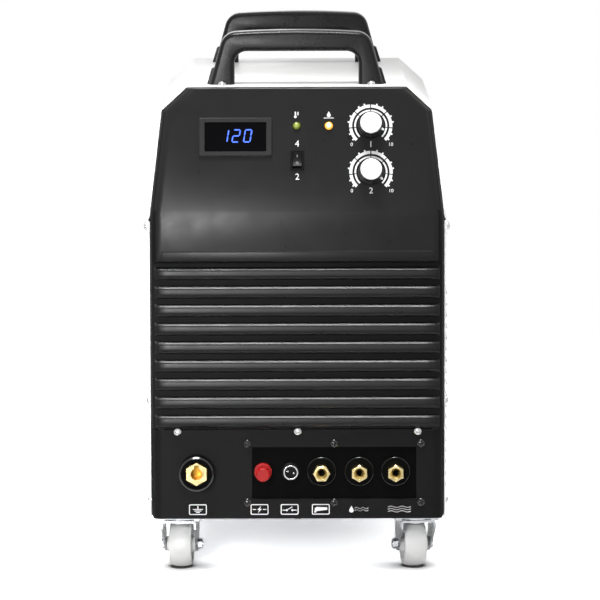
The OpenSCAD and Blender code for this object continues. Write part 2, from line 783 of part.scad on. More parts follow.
module pilot_post_knob() {
    h = post_face - post_collar_h - 0.3;
    color("firebrick") on_plate(post_x) translate([0, 0, post_collar_h + 0.3]) difference() {
        union() {
            disc(post_knob_r - 1, 0, 3);
            disc(post_knob_r, 2.5, h - 2);
            translate([0, 0, h - 2]) cylinder(r1 = post_knob_r, r2 = post_knob_r - 1.6, h = 2);
        }
        disc(post_stud_r + fit, -over, post_hole_l);
        for (i = [0:11])
            rotate(i * 30) translate([post_knob_r + 0.5, 0, 0]) disc(1, 3, h + over);
    }
}

module switch_socket_shell() {
    color("silver") on_plate(switch_x) difference() {
        union() {
            disc(switch_r, -plate_t - 12, switch_reach);
            hexagon(switch_r * 2 + 4, -plate_t - 4, -plate_t);
            disc(switch_r + 1.6, 0, 1.6);
        }
        disc(switch_r - 1.5, 1, switch_reach + over);
        disc(switch_r - 2.5, -plate_t - 12 - over, 2);
    }
}

module switch_socket_insert() {
    pin_dx = 3.2;
    color([0.08, 0.08, 0.08]) on_plate(switch_x) {
        disc(switch_r - 1.5 - fit, 1, switch_reach - 6);
        disc(switch_r - 2.5 - fit, -plate_t - 12, 1 + bite);
        for (x = [-pin_dx, pin_dx]) translate([x, -x / 3, 0]) disc(1, 0, switch_reach - 1.5);
    }
}

module fitting_bushings() {
    color([0.07, 0.07, 0.07]) at_fittings() difference() {
        union() {
            disc(bushing_r, 0, bushing_t - 0.8);
            translate([0, 0, bushing_t - 0.8]) cylinder(r1 = bushing_r, r2 = bushing_r - 0.8, h = 0.8);
            disc(bushing_stem_r, -plate_t - 6, bite);
        }
        disc(fitting_stem_r + fit, -plate_t - 6 - over, bushing_t + over);
    }
}

// Step between the outer part of a passage and the narrower part behind it.
bore_step = 0.5;

// A brass fitting with a chamfered hexagon, a cone seat and a passage through its stem.
module fitting(turn) {
    corner_r = fitting_af / sqrt(3);
    chamfer = corner_r - fitting_af / 2;
    tail = 24;
    difference() {
        union() {
            intersection() {
                rotate(turn) hexagon(fitting_af, bushing_t, bushing_t + fitting_l);
                union() {
                    disc(corner_r, bushing_t, bushing_t + fitting_l - chamfer);
                    translate([0, 0, bushing_t + fitting_l - chamfer])
                        cylinder(r1 = corner_r, r2 = fitting_af / 2 - 0.4, h = chamfer);
                }
            }
            disc(fitting_stem_r, -plate_t - 6, bushing_t + bite);
            rotate(turn) hexagon(fitting_af, -plate_t - 12, -plate_t - 6);
            disc(fitting_bore_r + 2, -plate_t - tail, -plate_t - 12 + bite);
        }
        disc(fitting_bore_r, bushing_t, bushing_t + fitting_l + over);
        disc(fitting_bore_r - bore_step, -plate_t - tail - over, bushing_t + over);
        translate([0, 0, bushing_t + fitting_l - 5])
            cylinder(r1 = fitting_bore_r, r2 = fitting_af / 2 - 2.2, h = 5.01);
    }
}

module torch_fitting() { color("goldenrod") on_plate(torch_x) fitting(0); }
module water_fitting() { color("goldenrod") on_plate(water_x) fitting(30); }
module air_fitting() { color("goldenrod") on_plate(air_x) fitting(30); }

// ---- Controls on the slope ----
bezel_h = 3;
glass_t = 2;
glass_sink = 1.2;
meter_depth = 24;

module display_bezel() {
    cut_w = display_w - 4 - 2 * fit;
    cut_h = display_h - 4 - 2 * fit;
    color([0.27, 0.27, 0.28]) on_slope(display_x, display_z) difference() {
        union() {
            linear_extrude(bezel_h - 1) polygon(box_loop(display_w, display_h, 2));
            hull() {
                translate([0, 0, bezel_h - 1.2]) linear_extrude(0.2) polygon(box_loop(display_w, display_h, 2));
                translate([0, 0, bezel_h - 0.2])
                    linear_extrude(0.2) polygon(box_loop(display_w - 2, display_h - 2, 1.5));
            }
            block(cut_w, cut_h, -meter_depth, bite);
        }
        block(glass_w, glass_h, bezel_h - glass_sink - glass_t, bezel_h + over);
    }
}

module display_window() {
    color([0.02, 0.02, 0.03]) on_slope(display_x, display_z)
        block(glass_w - 2 * fit, glass_h - 2 * fit, bezel_h - glass_sink - glass_t, bezel_h - glass_sink);
}

// A domed signal lamp with a rim that rests on the panel.
module lamp() {
    stem_r = lamp_r - 0.6 - fit;
    dome_h = 3.2;
    rotate_extrude()
        polygon(concat([[0, -fascia_t - 10], [stem_r, -fascia_t - 10], [stem_r, 0], [lamp_r, 0], [lamp_r, 0.9]],
            [for (i = [0:8]) let (a = i * 90 / 8) [(lamp_r - 0.8) * cos(a), 0.9 + dome_h * sin(a)]]));
}

module temp_lamp() { color("yellowgreen") on_slope(temp_x, lamp_z) lamp(); }
module water_lamp() { color("orange") on_slope(water_lamp_x, lamp_z) lamp(); }

rocker_wall = 1.4;
rocker_rim_h = 1.8;
rocker_gap = 0.45;
rocker_pin_r = 1.2;
rocker_pin_z = -1;
rocker_box_l = 18;

module rocker_housing() {
    pocket_w = rocker_w - 2 - 2 * rocker_wall;
    pocket_h = rocker_h - 2 * rocker_wall;
    color([0.09, 0.09, 0.09]) on_slope(rocker_x, rocker_z) difference() {
        union() {
            linear_extrude(rocker_rim_h) polygon(box_loop(rocker_w, rocker_h, 0.8));
            block(rocker_cut_w - 2 * fit, rocker_cut_h - 2 * fit, -rocker_box_l, bite);
        }
        block(pocket_w, pocket_h, 0, rocker_rim_h + over);
        block(pocket_w, rocker_cut_h - 2 * rocker_wall, -11, bite);
        rotate([0, 90, 0]) translate([-rocker_pin_z, 0, 0])
            cylinder(r = rocker_pin_r + fit, h = pocket_w + 1.6, center = true);
    }
}

// The rocker in its middle position, its pin along X.
module rocker_form() {
    w = rocker_w - 2 - 2 * rocker_wall - 2 * rocker_gap;
    reach = rocker_h / 2 - rocker_wall - rocker_gap - 0.55;
    half_throw = rocker_throw / 2;
    rise = reach * tan(half_throw);
    low = 1.2;
    along_x(-w / 2, w / 2)
        polygon([[-reach, low + rise], [-reach + 0.4, low + rise + 0.2], [0, low],
            [reach - 0.4, low + rise + 0.2], [reach, low + rise], [reach - 1.2, -1], [3.6, -7], [-3.6, -7],
            [1.2 - reach, -1]]);
    rotate([0, 90, 0]) translate([-rocker_pin_z, 0, 0])
        cylinder(r = rocker_pin_r, h = w + 1.6, center = true);
}

// At rest the upper half is pressed in.
module mode_rocker() {
    color([0.12, 0.12, 0.12]) on_slope(rocker_x, rocker_z)
        translate([0, 0, rocker_pin_z]) rotate([-rocker_throw / 2, 0, 0]) translate([0, 0, -rocker_pin_z])
            rocker_form();
}

cap_t = 3;
knob_lift = 2.6;
nut_h = 2.2;
pot_depth = 12;
shaft_top = knob_h - cap_t - 1.5;

// A fluted knob with its shaft: a skirt below, a tapered grip and a seat for the cap.
module knob_body(pointer) {
    grip_r = cap_r + 0.3;
    grip_top = knob_h - cap_t;
    flutes = 18;
    rotate(-pointer) {
        difference() {
            union() {
                translate([0, 0, knob_lift]) cylinder(r1 = skirt_r, r2 = skirt_r - 0.7, h = 2.6);
                translate([0, 0, knob_lift + 2.5])
                    cylinder(r1 = grip_r + 0.4, r2 = grip_r, h = grip_top - knob_lift - 2.5);
                disc(4.5, grip_top - bite, grip_top + 1.5);
            }
            disc(8, knob_lift - over, knob_lift + 1.6);
            disc(shaft_r + 0.02, knob_lift - over, shaft_top);
            for (i = [0:flutes - 1])
                rotate((i + 0.5) * 360 / flutes) translate([grip_r + 1.1, 0, 0])
                    disc(1.4, knob_lift + 2.7, grip_top - 1);
        }
        disc(shaft_r, -fascia_t - 2, shaft_top);
    }
}

module knob_cap() {
    difference() {
        union() {
            disc(cap_r, knob_h - cap_t, knob_h - 0.5);
            translate([0, 0, knob_h - 0.5]) cylinder(r1 = cap_r, r2 = cap_r - 0.5, h = 0.5);
        }
        disc(4.5 + fit, knob_h - cap_t - over, knob_h - cap_t + 1.5);
    }
}

module current_knob() { color([0.1, 0.1, 0.1]) on_slope(dial_x, current_z) knob_body(current_point); }
module current_knob_cap() { color("white") on_slope(dial_x, current_z) knob_cap(); }
module time_knob() { color([0.1, 0.1, 0.1]) on_slope(dial_x, time_z) knob_body(time_point); }
module time_knob_cap() { color("white") on_slope(dial_x, time_z) knob_cap(); }

module potentiometers() {
    color("silver")
        for (z = [current_z, time_z]) on_slope(dial_x, z) difference() {
            union() {
                disc(12, -fascia_t - pot_depth, -fascia_t);
                disc(bushing_thread_r, -fascia_t - bite, nut_h);
                hexagon(12, 0, nut_h);
            }
            disc(shaft_r + fit, -fascia_t - 2.05, nut_h + over);
        }
}

// ---- Handles ----
foot_collar_h = 19;
foot_collar_out = 3.2;
grip_corner_r = 13.5;
handle_corner_r = 18;

// The handle's outline: its outer edge from the left foot to the right one, then its inner edge back.
function handle_outline() =
    let (sink = -2 * handle_bevel, slope = (handle_foot_x - handle_top_x) / handle_h)
    let (bar = grip_x - grip_corner_r)
    let (r = (handle_top_x * handle_top_x + handle_crown * handle_crown) / (2 * handle_crown))
    let (half = asin(handle_top_x / r) * 0.7)
    let (crown = arc_points([0, handle_h + handle_crown - r], r, 90 + half, 90 - half, bend_steps))
    rounded(concat(
        [[-handle_foot_x + slope * sink, sink, 0], [-handle_top_x, handle_h, handle_corner_r]],
        [for (p = crown) [p.x, p.y, 0]],
        [[handle_top_x, handle_h, handle_corner_r], [handle_foot_x - slope * sink, sink, 0], [grip_x, sink, 0],
            [grip_x, grip_h, grip_corner_r]],
        [for (p = crown) [-bar * p.x / handle_top_x, grip_h, 0]],
        [[-grip_x, grip_h, grip_corner_r], [-grip_x, sink, 0]]), edge_steps);

// A handle whose front face is at y.
module handle(y) {
    loop = [for (p = handle_outline()) [p.x, p.y]];
    anticlockwise = [for (i = [len(loop) - 1:-1:0]) loop[i]];
    steps = [for (i = [0:3]) let (a = i * 30) handle_bevel * [1 - sin(a), 1 - cos(a)]];
    back = [for (i = [3:-1:0]) [steps[i].x, handle_depth - steps[i].y]];
    slope = (handle_foot_x - handle_top_x) / handle_h;
    difference() {
        union() {
            translate([0, y, cover_top])
                loft([for (s = concat(steps, back))
                    [for (p = grown(anticlockwise, -s.x)) [p.x, s.y, p.y]]]);
            both_sides() translate([0, 0, cover_top])
                along_y(y + handle_depth * 0.3, y + handle_depth * 0.7)
                    polygon([[handle_foot_x - 6, 0], [handle_foot_x + foot_collar_out, 0],
                        [handle_foot_x + foot_collar_out - slope * foot_collar_h, foot_collar_h - 2],
                        [handle_foot_x - slope * foot_collar_h, foot_collar_h],
                        [handle_foot_x - 12, foot_collar_h]]);
        }
        translate([0, y + handle_depth / 2, 0]) block(3 * handle_foot_x, 3 * handle_depth, 0, cover_top);
        both_sides() translate([leg_x, y + handle_depth / 2, 0])
            disc(handle_bolt_r + fit, cover_top - over, cover_top + handle_bolt_l);
    }
}

module front_handle() { color([0.15, 0.15, 0.15]) handle(front_handle_y); }
module rear_handle() { color([0.15, 0.15, 0.15]) handle(rear_handle_y - handle_depth); }

module handle_bolts() {
    under = cover_top - sheet_t;
    color("silver") at_handle_bolts() {
        disc(handle_bolt_r, under - 1, cover_top + handle_bolt_l - 1);
        disc(6, under - 1.2, under);
        hexagon(10, under - 5, under - 1.1);
    }
}

module panel_screws() {
    color("silver") {
        translate([0, 0, cover_top])
            at_top_screws() pan_screw(screw_head_r, screw_head_h + 1.2, screw_r, screw_l);
        at_side_screws(flange_out, [lap_screw_z]) pan_screw(screw_head_r, screw_head_h, screw_r, screw_l);
        at_side_screws(wall_out, side_screw_zs) pan_screw(screw_head_r, screw_head_h, screw_r, screw_l);
        for (x = fascia_screw_xs) on_front(x, fascia_screw_z) pan_screw(screw_head_r, 3, screw_r, screw_l);
        for (y = [-base_screw_y, base_screw_y])
            translate([0, y, base_z]) rotate([180, 0, 0])
                pan_screw(screw_head_r, screw_head_h, screw_r, screw_l);
        at_fan_screws() translate([0, 0, guard_wire_r * 2]) pan_screw(fan_screw_head_r, 2.4, fan_screw_r, 20);
    }
}

// ---- Casters ----
plate_bottom = base_z - 2.5;
cup_bottom = plate_bottom - 3.2;
fork_top = cup_bottom - 0.3;
fork_t = 2.4;
kingpin_r = 5;
kingpin_head_r = 8;
axle_r = 3;
axle_end = fork_half + 3.6;

module caster_plates() {
    color("gainsboro") {
        difference() {
            at_casters() block(caster_plate, caster_plate, plate_bottom, base_z);
            at_caster_holes() disc(caster_hole_r, plate_bottom - over, base_z + over);
        }
        at_casters() {
            disc(17, cup_bottom, plate_bottom + bite);
            disc(kingpin_r, fork_top - fork_t - 2.4, plate_bottom);
            disc(kingpin_head_r, fork_top - fork_t - 2.6, fork_top - fork_t - 0.3);
        }
    }
}

module caster_bolts() {
    top = base_z + sheet_t;
    color("silver") at_caster_holes() {
        disc(caster_bolt_r, plate_bottom - 1, top + 8);
        hexagon(10, plate_bottom - 2.8, plate_bottom);
        rotate(30) hexagon(10, top, top + 5);
    }
}

// Places a caster's moving pieces: side and end are -1 or 1, and yaw swings the fork about its swivel.
module at_caster(side, end, yaw) {
    translate([side * caster_x, end * caster_y, 0]) rotate(yaw) children();
}

// A pressed fork with its axle bolt; the nut is on the given side.
module fork(nut_side) {
    leg_low = wheel_r - 8;
    knee_z = fork_top - 14;
    foot = fork_half - 1.2;
    path = bent([[-foot, leg_low], [-fork_half, knee_z], [-fork_half, fork_top], [fork_half, fork_top],
        [fork_half, knee_z], [foot, leg_low]], 4);
    color("gainsboro") {
        difference() {
            intersection() {
                along_y(-kingpin_r * 5, trail + 3 * axle_r + over) polygon(strip(path, -fork_t));
                union() {
                    along_x(-fork_half - over, fork_half + over)
                        polygon([[-18, fork_top + over], [trail + 3, fork_top + over],
                            [trail + 3, fork_top - 5], [trail + 8, wheel_r + 1],
                            [trail - 8, wheel_r - 3], [-18, fork_top - 9]]);
                    translate([0, trail, wheel_r]) rotate([0, 90, 0])
                        cylinder(r = 8.4, h = 2 * fork_half + 2 * over, center = true);
                }
            }
            disc(kingpin_r + fit, fork_top - fork_t - over, fork_top + over);
        }
        translate([0, trail, wheel_r]) rotate([0, 90, 0]) {
            cylinder(r = axle_r, h = 2 * fork_half + bite, center = true);
            for (s = [-1, 1]) {
                length = s == nut_side ? axle_end - fork_half : 2.6;
                rotate([0, s < 0 ? 180 : 0, 0]) {
                    hexagon(10, fork_half - 1, fork_half + length);
                    if (s == nut_side) disc(axle_r, fork_half, fork_half + length + 1);
                }
            }
        }
    }
}

module wheel() {
    hub_half = fork_half - fork_t - 1.3;
    web_half = 5;
    tread_half = wheel_w / 2;
    crown = 2.2;
    tread = [for (i = [-6:6]) let (u = i / 6) [wheel_r - crown * pow(abs(u), 2.5), u * (tread_half - 0.6)]];
    color("white") translate([0, trail, wheel_r]) rotate([0, 90, 0])
        rotate_extrude($fn = 72)
            polygon(concat(
                [[axle_r + fit, -hub_half], [8, -hub_half], [8.6, -hub_half + 0.6], [9.4, -web_half],
                    [wheel_r * 0.66, -web_half], [wheel_r * 0.7, -tread_half],
                    [wheel_r - crown - 1, -tread_half]],
                tread,
                [[wheel_r - crown - 1, tread_half], [wheel_r * 0.7, tread_half],
                    [wheel_r * 0.66, web_half], [9.4, web_half], [8.6, hub_half - 0.6], [8, hub_half],
                    [axle_r + fit, hub_half]]));
}

module front_left_fork() { at_caster(-1, -1, front_left_yaw) fork(1); }
module front_right_fork() { at_caster(1, -1, front_right_yaw) fork(-1); }
module rear_left_fork() { at_caster(-1, 1, 0) fork(1); }
module rear_right_fork() { at_caster(1, 1, 0) fork(-1); }
module front_left_wheel() { at_caster(-1, -1, front_left_yaw) wheel(); }
module front_right_wheel() { at_caster(1, -1, front_right_yaw) wheel(); }
module rear_left_wheel() { at_caster(-1, 1, 0) wheel(); }
module rear_right_wheel() { at_caster(1, 1, 0) wheel(); }

// ---- Rear panel fittings ----
guard_wire_r = 1;
fan_hub_r = 24;
bearing_r = 3;
fan_plate_t = 4;

// Fan frames stand inside the rear panel; +Z points out of the rear.
module fan_frames() {
    inside = -panel_t;
    color([0.1, 0.1, 0.1]) at_fans() {
        difference() {
            block(fan_size, fan_size, inside - fan_depth, inside);
            disc(fan_bore_r, inside - fan_depth - over, inside + over);
            for (x = [-fan_hole_pitch / 2, fan_hole_pitch / 2], y = [-fan_hole_pitch / 2, fan_hole_pitch / 2])
                translate([x, y, 0]) disc(fan_screw_hole_r, inside - fan_depth - over, inside + over);
        }
        difference() {
            union() {
                disc(fan_hub_r, inside - fan_depth, inside - fan_depth + fan_plate_t);
                for (i = [0:3])
                    rotate(45 + i * 90) translate([0, -3, inside - fan_depth])
                        cube([fan_bore_r + over, 6, fan_plate_t]);
                disc(bearing_r + 4, inside - fan_depth, inside - fan_depth + 14);
            }
            disc(bearing_r + fit, inside - fan_depth + 2, inside - fan_depth + 14 + over);
        }
    }
}

// The rotor's cup runs over the frame's bearing tube, and its shaft turns in the tube.
module fan_rotor() {
    back = -panel_t - fan_depth;
    cup_bottom = back + fan_plate_t + 0.8;
    cup_top = -panel_t - 3;
    difference() {
        disc(fan_hub_r - 0.5, cup_bottom, cup_top);
        disc(bearing_r + 5, cup_bottom - over, cup_top - 3);
    }
    disc(bearing_r, back + 2.5, cup_top - 2);
    intersection() {
        difference() {
            disc(rotor_r, cup_bottom + 1, cup_top - 1);
            disc(fan_hub_r - 1, cup_bottom, cup_top);
        }
        for (i = [0:blade_count - 1])
            rotate(i * 360 / blade_count)
                translate([(fan_hub_r + rotor_r) / 2, 0, (cup_bottom + cup_top) / 2]) rotate([38, 0, 0])
                    cube([rotor_r, 42, 1.8], center = true);
    }
}

module upper_fan_rotor() { color([0.12, 0.12, 0.12]) on_rear(0, upper_fan_z) fan_rotor(); }
module lower_fan_rotor() { color([0.12, 0.12, 0.12]) on_rear(0, lower_fan_z) fan_rotor(); }

module fan_guards() {
    rings = 5;
    ring_pitch = 10.5;
    leg_r = fan_hole_pitch / sqrt(2);
    leg_end = leg_r - fan_screw_head_r - 0.1;
    color("silver") at_fans() translate([0, 0, guard_wire_r]) {
        for (i = [1:rings])
            rotate_extrude()
                translate([i * ring_pitch, guard_wire_r * 1.6, 0]) circle(r = guard_wire_r, $fn = 16);
        disc(5, guard_wire_r * 0.8, guard_wire_r * 2.4);
        for (i = [0:3])
            rotate(45 + i * 90) difference() {
                union() {
                    translate([0, -guard_wire_r, -guard_wire_r * 0.2])
                        cube([leg_end, 2 * guard_wire_r, 2 * guard_wire_r * 0.9]);
                    translate([leg_r, 0, 0]) disc(4.2, -guard_wire_r, guard_wire_r);
                }
                translate([leg_r, 0, 0]) disc(fan_screw_hole_r, -2, 3);
            }
    }
}

mains_pin_r = 4;
mains_plate = 48;

module mains_switch_body() {
    color([0.12, 0.12, 0.12]) on_rear(mains_x, mains_z) difference() {
        union() {
            linear_extrude(3) polygon(box_loop(mains_plate, mains_plate, 3));
            disc(mains_r - fit, -panel_t - 1, bite);
            block(44, 44, -panel_t - 46, -panel_t);
        }
        disc(mains_pin_r + fit, -panel_t - 10, 3 + over);
    }
}

// A round knob with a bar grip across it.
module mains_switch_knob() {
    base = 3.3;
    color("firebrick") on_rear(mains_x, mains_z) {
        translate([0, 0, base]) cylinder(r1 = 17, r2 = 16, h = 5);
        difference() {
            disc(15, base + 4.5, base + 18);
            for (s = [-1, 1])
                translate([s * 12.5, 0, 0]) block(15, 40, base + 5, base + 19);
        }
        disc(mains_pin_r, -panel_t - 8, base + bite);
    }
}

rear_reach = post_reach;
gland_bore_r = 6.5;

module cable_gland() {
    stem_r = gland_r - fit;
    color([0.1, 0.1, 0.1]) on_rear(service_x, service_z) difference() {
        union() {
            hexagon(31, 0, 6);
            disc(stem_r, -panel_t - 12, bite);
            hexagon(31, -panel_t - 6, -panel_t);
            disc(13.2, 5.5, 9);
            intersection() {
                hexagon(30, 8.5, rear_reach);
                union() {
                    disc(16, 8.5, rear_reach - 9);
                    translate([0, 0, rear_reach - 9]) cylinder(r1 = 17, r2 = 9.5, h = 9);
                }
            }
        }
        disc(gland_bore_r, 0, rear_reach + over);
        disc(gland_bore_r - bore_step, -panel_t - 12 - over, over);
    }
}

// A brass hose tail with three barbs.
module air_inlet() {
    hex_h = 7;
    barb_l = (rear_reach - 2 - hex_h) / 3;
    color("goldenrod") on_rear(-service_x, service_z) difference() {
        union() {
            hexagon(17, 0, hex_h);
            disc(inlet_r - fit, -panel_t - 14, bite);
            hexagon(17, -panel_t - 6, -panel_t);
            for (i = [0:2])
                translate([0, 0, hex_h - bite + i * barb_l]) cylinder(r1 = 5, r2 = 3.9, h = barb_l + bite);
        }
        disc(fitting_bore_r, 0, rear_reach + over);
        disc(fitting_bore_r - bore_step, -panel_t - 14 - over, over);
    }
}

// ---- Inside ----
frame_half = tray_half - 16.9;
frame_end = body_l / 2 - 65;
shelf_z = 262;
inner_t = 2;
core_depth = 60;

module inner_frame() {
    floor_z = base_z + sheet_t;
    foot = 14;
    path = bent([[-frame_half + foot, floor_z], [-frame_half, floor_z], [-frame_half, shelf_z],
        [frame_half, shelf_z], [frame_half, floor_z], [frame_half - foot, floor_z]], bend_r + inner_t);
    color("lightgray") difference() {
        along_y(-frame_end, frame_end) polygon(strip(path, -inner_t));
        for (y = [-100, 20]) translate([0, y, 0]) block(120, 70, shelf_z - over - inner_t, shelf_z + over);
        both_sides()
            for (y = [-100, 20]) translate([frame_half - 5, y - 35, 110]) cube([10, 70, 110]);
    }
}

module heatsinks() {
    fins = 9;
    fin_pitch = 7;
    color("silver")
        for (y = [-100, 20])
            both_sides() translate([75, y, shelf_z]) {
                block(60, 90, 0, 8);
                for (i = [0:fins - 1])
                    translate([(i - (fins - 1) / 2) * fin_pitch, 0, 0]) block(2, 90, 7.5, 48);
            }
}

module main_transformer() {
    floor_z = base_z + sheet_t;
    core_w = 120;
    core_h = 110;
    bar = 28;
    color("dimgray") translate([0, 80, floor_z]) {
        difference() {
            block(core_w, core_depth, 0, core_h);
            for (s = [-1, 1])
                translate([s * core_w / 4, 0, 0]) block(bar, core_depth + over, bar, core_h - bar);
        }
        block(bar + 36, core_depth + 36, bar + 0.5, core_h - bar - 0.5);
    }
}

module output_choke() {
    floor_z = base_z + sheet_t;
    color("peru") translate([-60, -80, floor_z]) {
        block(80, 50, 0, 4);
        translate([0, 0, 43]) rotate([90, 0, 0]) difference() {
            cylinder(r = 40, h = 40, center = true);
            cylinder(r = 16, h = 44, center = true);
        }
    }
}

board_z = shelf_z + 54;

board_w = 2 * frame_half - 30;
board_l = 2 * frame_end - 130;
board_y = -40;
board_edge = 5;

module power_board() {
    color("darkgreen") translate([0, board_y, 0]) {
        block(board_w, board_l, board_z, board_z + 2);
        both_sides()
            for (y = [board_edge - board_l / 2, board_l / 2 - board_edge])
                translate([board_w / 2 - board_edge, y, 0]) disc(4, shelf_z, board_z + bite);
    }
}

module capacitors() {
    color("royalblue")
        for (x = [-66, -22, 22, 66], y = [-110, -60])
            translate([x, y, 0]) disc(17.5, board_z + 2, board_z + 62);
}

module control_board() {
    stand = 26;
    color("green") on_slope(-20, slope_z + 62) {
        block(170, 90, -fascia_t - stand - 1.6, -fascia_t - stand);
        for (x = [-80, 80], y = [-40, 40])
            translate([x, y, 0]) disc(3, -fascia_t - stand - bite, -fascia_t);
    }
}

module solenoid_valve() {
    floor_z = base_z + sheet_t;
    color("black") translate([frame_half - 54, 35 - frame_end, floor_z]) {
        block(40, 34, 0, 26);
        translate([0, 0, 25.5]) disc(9, 0, 8);
        block(32, 30, 33, 62);
    }
}

base_tray();
top_cover();
left_side_panel();
right_side_panel();
upper_fascia();
lower_panel();
connector_plate();
rear_panel();
front_handle();
rear_handle();
handle_bolts();
panel_screws();
connector_plate_screws();
display_bezel();
display_window();
temp_lamp();
water_lamp();
rocker_housing();
mode_rocker();
current_knob();
current_knob_cap();
time_knob();
time_knob_cap();
potentiometers();
earth_socket_insulator();
earth_socket_brass();
pilot_post_base();
pilot_post_knob();
switch_socket_shell();
switch_socket_insert();
fitting_bushings();
torch_fitting();
water_fitting();
air_fitting();
caster_plates();
caster_bolts();
front_left_fork();
front_right_fork();
rear_left_fork();
rear_right_fork();
front_left_wheel();
front_right_wheel();
rear_left_wheel();
rear_right_wheel();
fan_frames();
fan_guards();
upper_fan_rotor();
lower_fan_rotor();
mains_switch_body();
mains_switch_knob();
cable_gland();
air_inlet();
inner_frame();
heatsinks();
main_transformer();
output_choke();
capacitors();
power_board();
control_board();
solenoid_valve();
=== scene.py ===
"""The looks of a plasma cutter unit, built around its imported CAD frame. Lengths are in metres."""

import json
import math

import bmesh
import bpy
from mathutils import Matrix, Vector


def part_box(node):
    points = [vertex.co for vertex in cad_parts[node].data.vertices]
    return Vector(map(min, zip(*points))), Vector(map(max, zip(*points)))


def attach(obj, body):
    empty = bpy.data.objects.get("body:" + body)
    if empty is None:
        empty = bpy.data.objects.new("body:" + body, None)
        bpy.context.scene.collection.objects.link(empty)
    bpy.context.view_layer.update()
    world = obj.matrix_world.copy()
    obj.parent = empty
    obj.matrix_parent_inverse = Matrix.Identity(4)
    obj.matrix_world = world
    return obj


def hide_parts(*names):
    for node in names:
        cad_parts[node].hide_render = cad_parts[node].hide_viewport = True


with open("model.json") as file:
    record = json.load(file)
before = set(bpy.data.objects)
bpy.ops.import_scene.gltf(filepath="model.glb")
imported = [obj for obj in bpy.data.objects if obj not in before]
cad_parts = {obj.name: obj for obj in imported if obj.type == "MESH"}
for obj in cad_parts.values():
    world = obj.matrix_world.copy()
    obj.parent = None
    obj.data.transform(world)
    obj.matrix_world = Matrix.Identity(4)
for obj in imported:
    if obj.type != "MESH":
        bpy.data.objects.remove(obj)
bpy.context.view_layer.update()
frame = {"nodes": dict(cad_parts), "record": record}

nodes = frame["nodes"]
record = frame["record"]
body_of = {node: body for body, members in record["behaviour"]["bodies"].items()
           for node in members}
slot_of = {part["node"]: part["material_slot"] for part in record["subparts"]}

MM = 0.001
FRONT_Y = -0.250  # the lower panel's front face
FASCIA_Y = -0.255  # the fascia's front face, under the control panel
SLOPE_Z = 0.400  # where the control panel begins to lean back
SLOPE_A = math.radians(16)
CONNECTOR_Z = 0.114  # the row of connectors


# ---- Places ----
def front_at(z):
    """Y of the fascia's front face at height z."""
    return FASCIA_Y + max(0, z - SLOPE_Z) * math.tan(SLOPE_A)


def on_slope(x, z):
    """Places a piece on the control panel: its X across, Y up the slope, Z out of it."""
    return Matrix.Translation((x, front_at(z), z)) @ Matrix.Rotation(math.pi / 2 - SLOPE_A, 4, "X")


def on_front(x, z):
    """Places a piece on the lower panel's front face: its Z points out."""
    return Matrix.Translation((x, FRONT_Y, z)) @ Matrix.Rotation(math.pi / 2, 4, "X")


# ---- Materials ----
NOISE_ROUGHNESS = 0.55
NOISE_LOW, NOISE_HIGH = 0.3, 0.7  # nearly all of a noise's values lie between
# Depths of the bumps
MOULD_GRAIN, ORANGE_PEEL, METAL_MARKS, HANDLING_MARKS = 0.00002, 0.00005, 0.00003, 0.00002


class Shader:
    """One procedural material around a Principled shader."""

    def __init__(self, name, colour, roughness, **sockets):
        self.material = bpy.data.materials.new(name)
        self.material.use_nodes = True
        self.nodes = self.material.node_tree.nodes
        self.links = self.material.node_tree.links
        self.bsdf = self.nodes["Principled BSDF"]
        self.place = self.nodes.new("ShaderNodeTexCoord").outputs["Object"]
        self.colour = (*colour, 1)
        self.bsdf.inputs["Base Color"].default_value = self.colour
        self.bsdf.inputs["Roughness"].default_value = roughness
        for socket, value in sockets.items():
            self.bsdf.inputs[socket.replace("_", " ")].default_value = value

    def link(self, output, node, socket):
        self.links.new(output, node.inputs[socket])

    def noise(self, scale, detail=4):
        """Noise with features of about 1 / scale metres."""
        noise = self.nodes.new("ShaderNodeTexNoise")
        noise.inputs["Scale"].default_value = scale
        noise.inputs["Detail"].default_value = detail
        noise.inputs["Roughness"].default_value = NOISE_ROUGHNESS
        self.link(self.place, noise, "Vector")
        return noise.outputs["Fac"]

    def spread(self, value, low, high, start=NOISE_LOW, end=NOISE_HIGH):
        """Maps a value from its usual range to low and high."""
        node = self.nodes.new("ShaderNodeMapRange")
        ends = {"From Min": start, "From Max": end, "To Min": low, "To Max": high}
        for socket, number in ends.items():
            node.inputs[socket].default_value = number
        self.link(value, node, "Value")
        return node.outputs["Result"]

    def blend(self, factor, first, second):
        """Mixes two colours by a factor."""
        mix = self.nodes.new("ShaderNodeMix")
        mix.data_type = "RGBA"
        mix.inputs["A"].default_value = (*first, 1)
        mix.inputs["B"].default_value = (*second, 1)
        self.link(factor, mix, "Factor")
        return mix.outputs["Result"]

    def mottle(self, value, low, high):
        """Varies the colour's brightness between low and high times itself."""
        dark = [c * low for c in self.colour[:3]]
        light = [min(1, c * high) for c in self.colour[:3]]
        self.link(self.blend(self.spread(value, 0, 1), dark, light), self.bsdf, "Base Color")
        return self

    def roughen(self, value, low, high):
        self.link(self.spread(value, low, high), self.bsdf, "Roughness")
        return self

    def grain(self, *layers):
        """Adds bump layers, each (height value, depth in metres)."""
        normal = None
        for value, depth in layers:
            bump = self.nodes.new("ShaderNodeBump")
            bump.inputs["Distance"].default_value = depth
            self.link(value, bump, "Height")
            if normal:
                self.link(normal, bump, "Normal")
            normal = bump.outputs["Normal"]
        self.link(normal, self.bsdf, "Normal")
        return self


def moulded(name, colour, roughness, **sockets):
    """Injection-moulded plastic with a fine spark-eroded texture."""
    s = Shader(name, colour, roughness, **sockets)
    s.mottle(s.noise(9), 0.93, 1.08)
    s.roughen(s.noise(40), roughness - 0.04, roughness + 0.05)
    return s.grain((s.noise(1500, 2), MOULD_GRAIN), (s.noise(60), MOULD_GRAIN / 4)).material


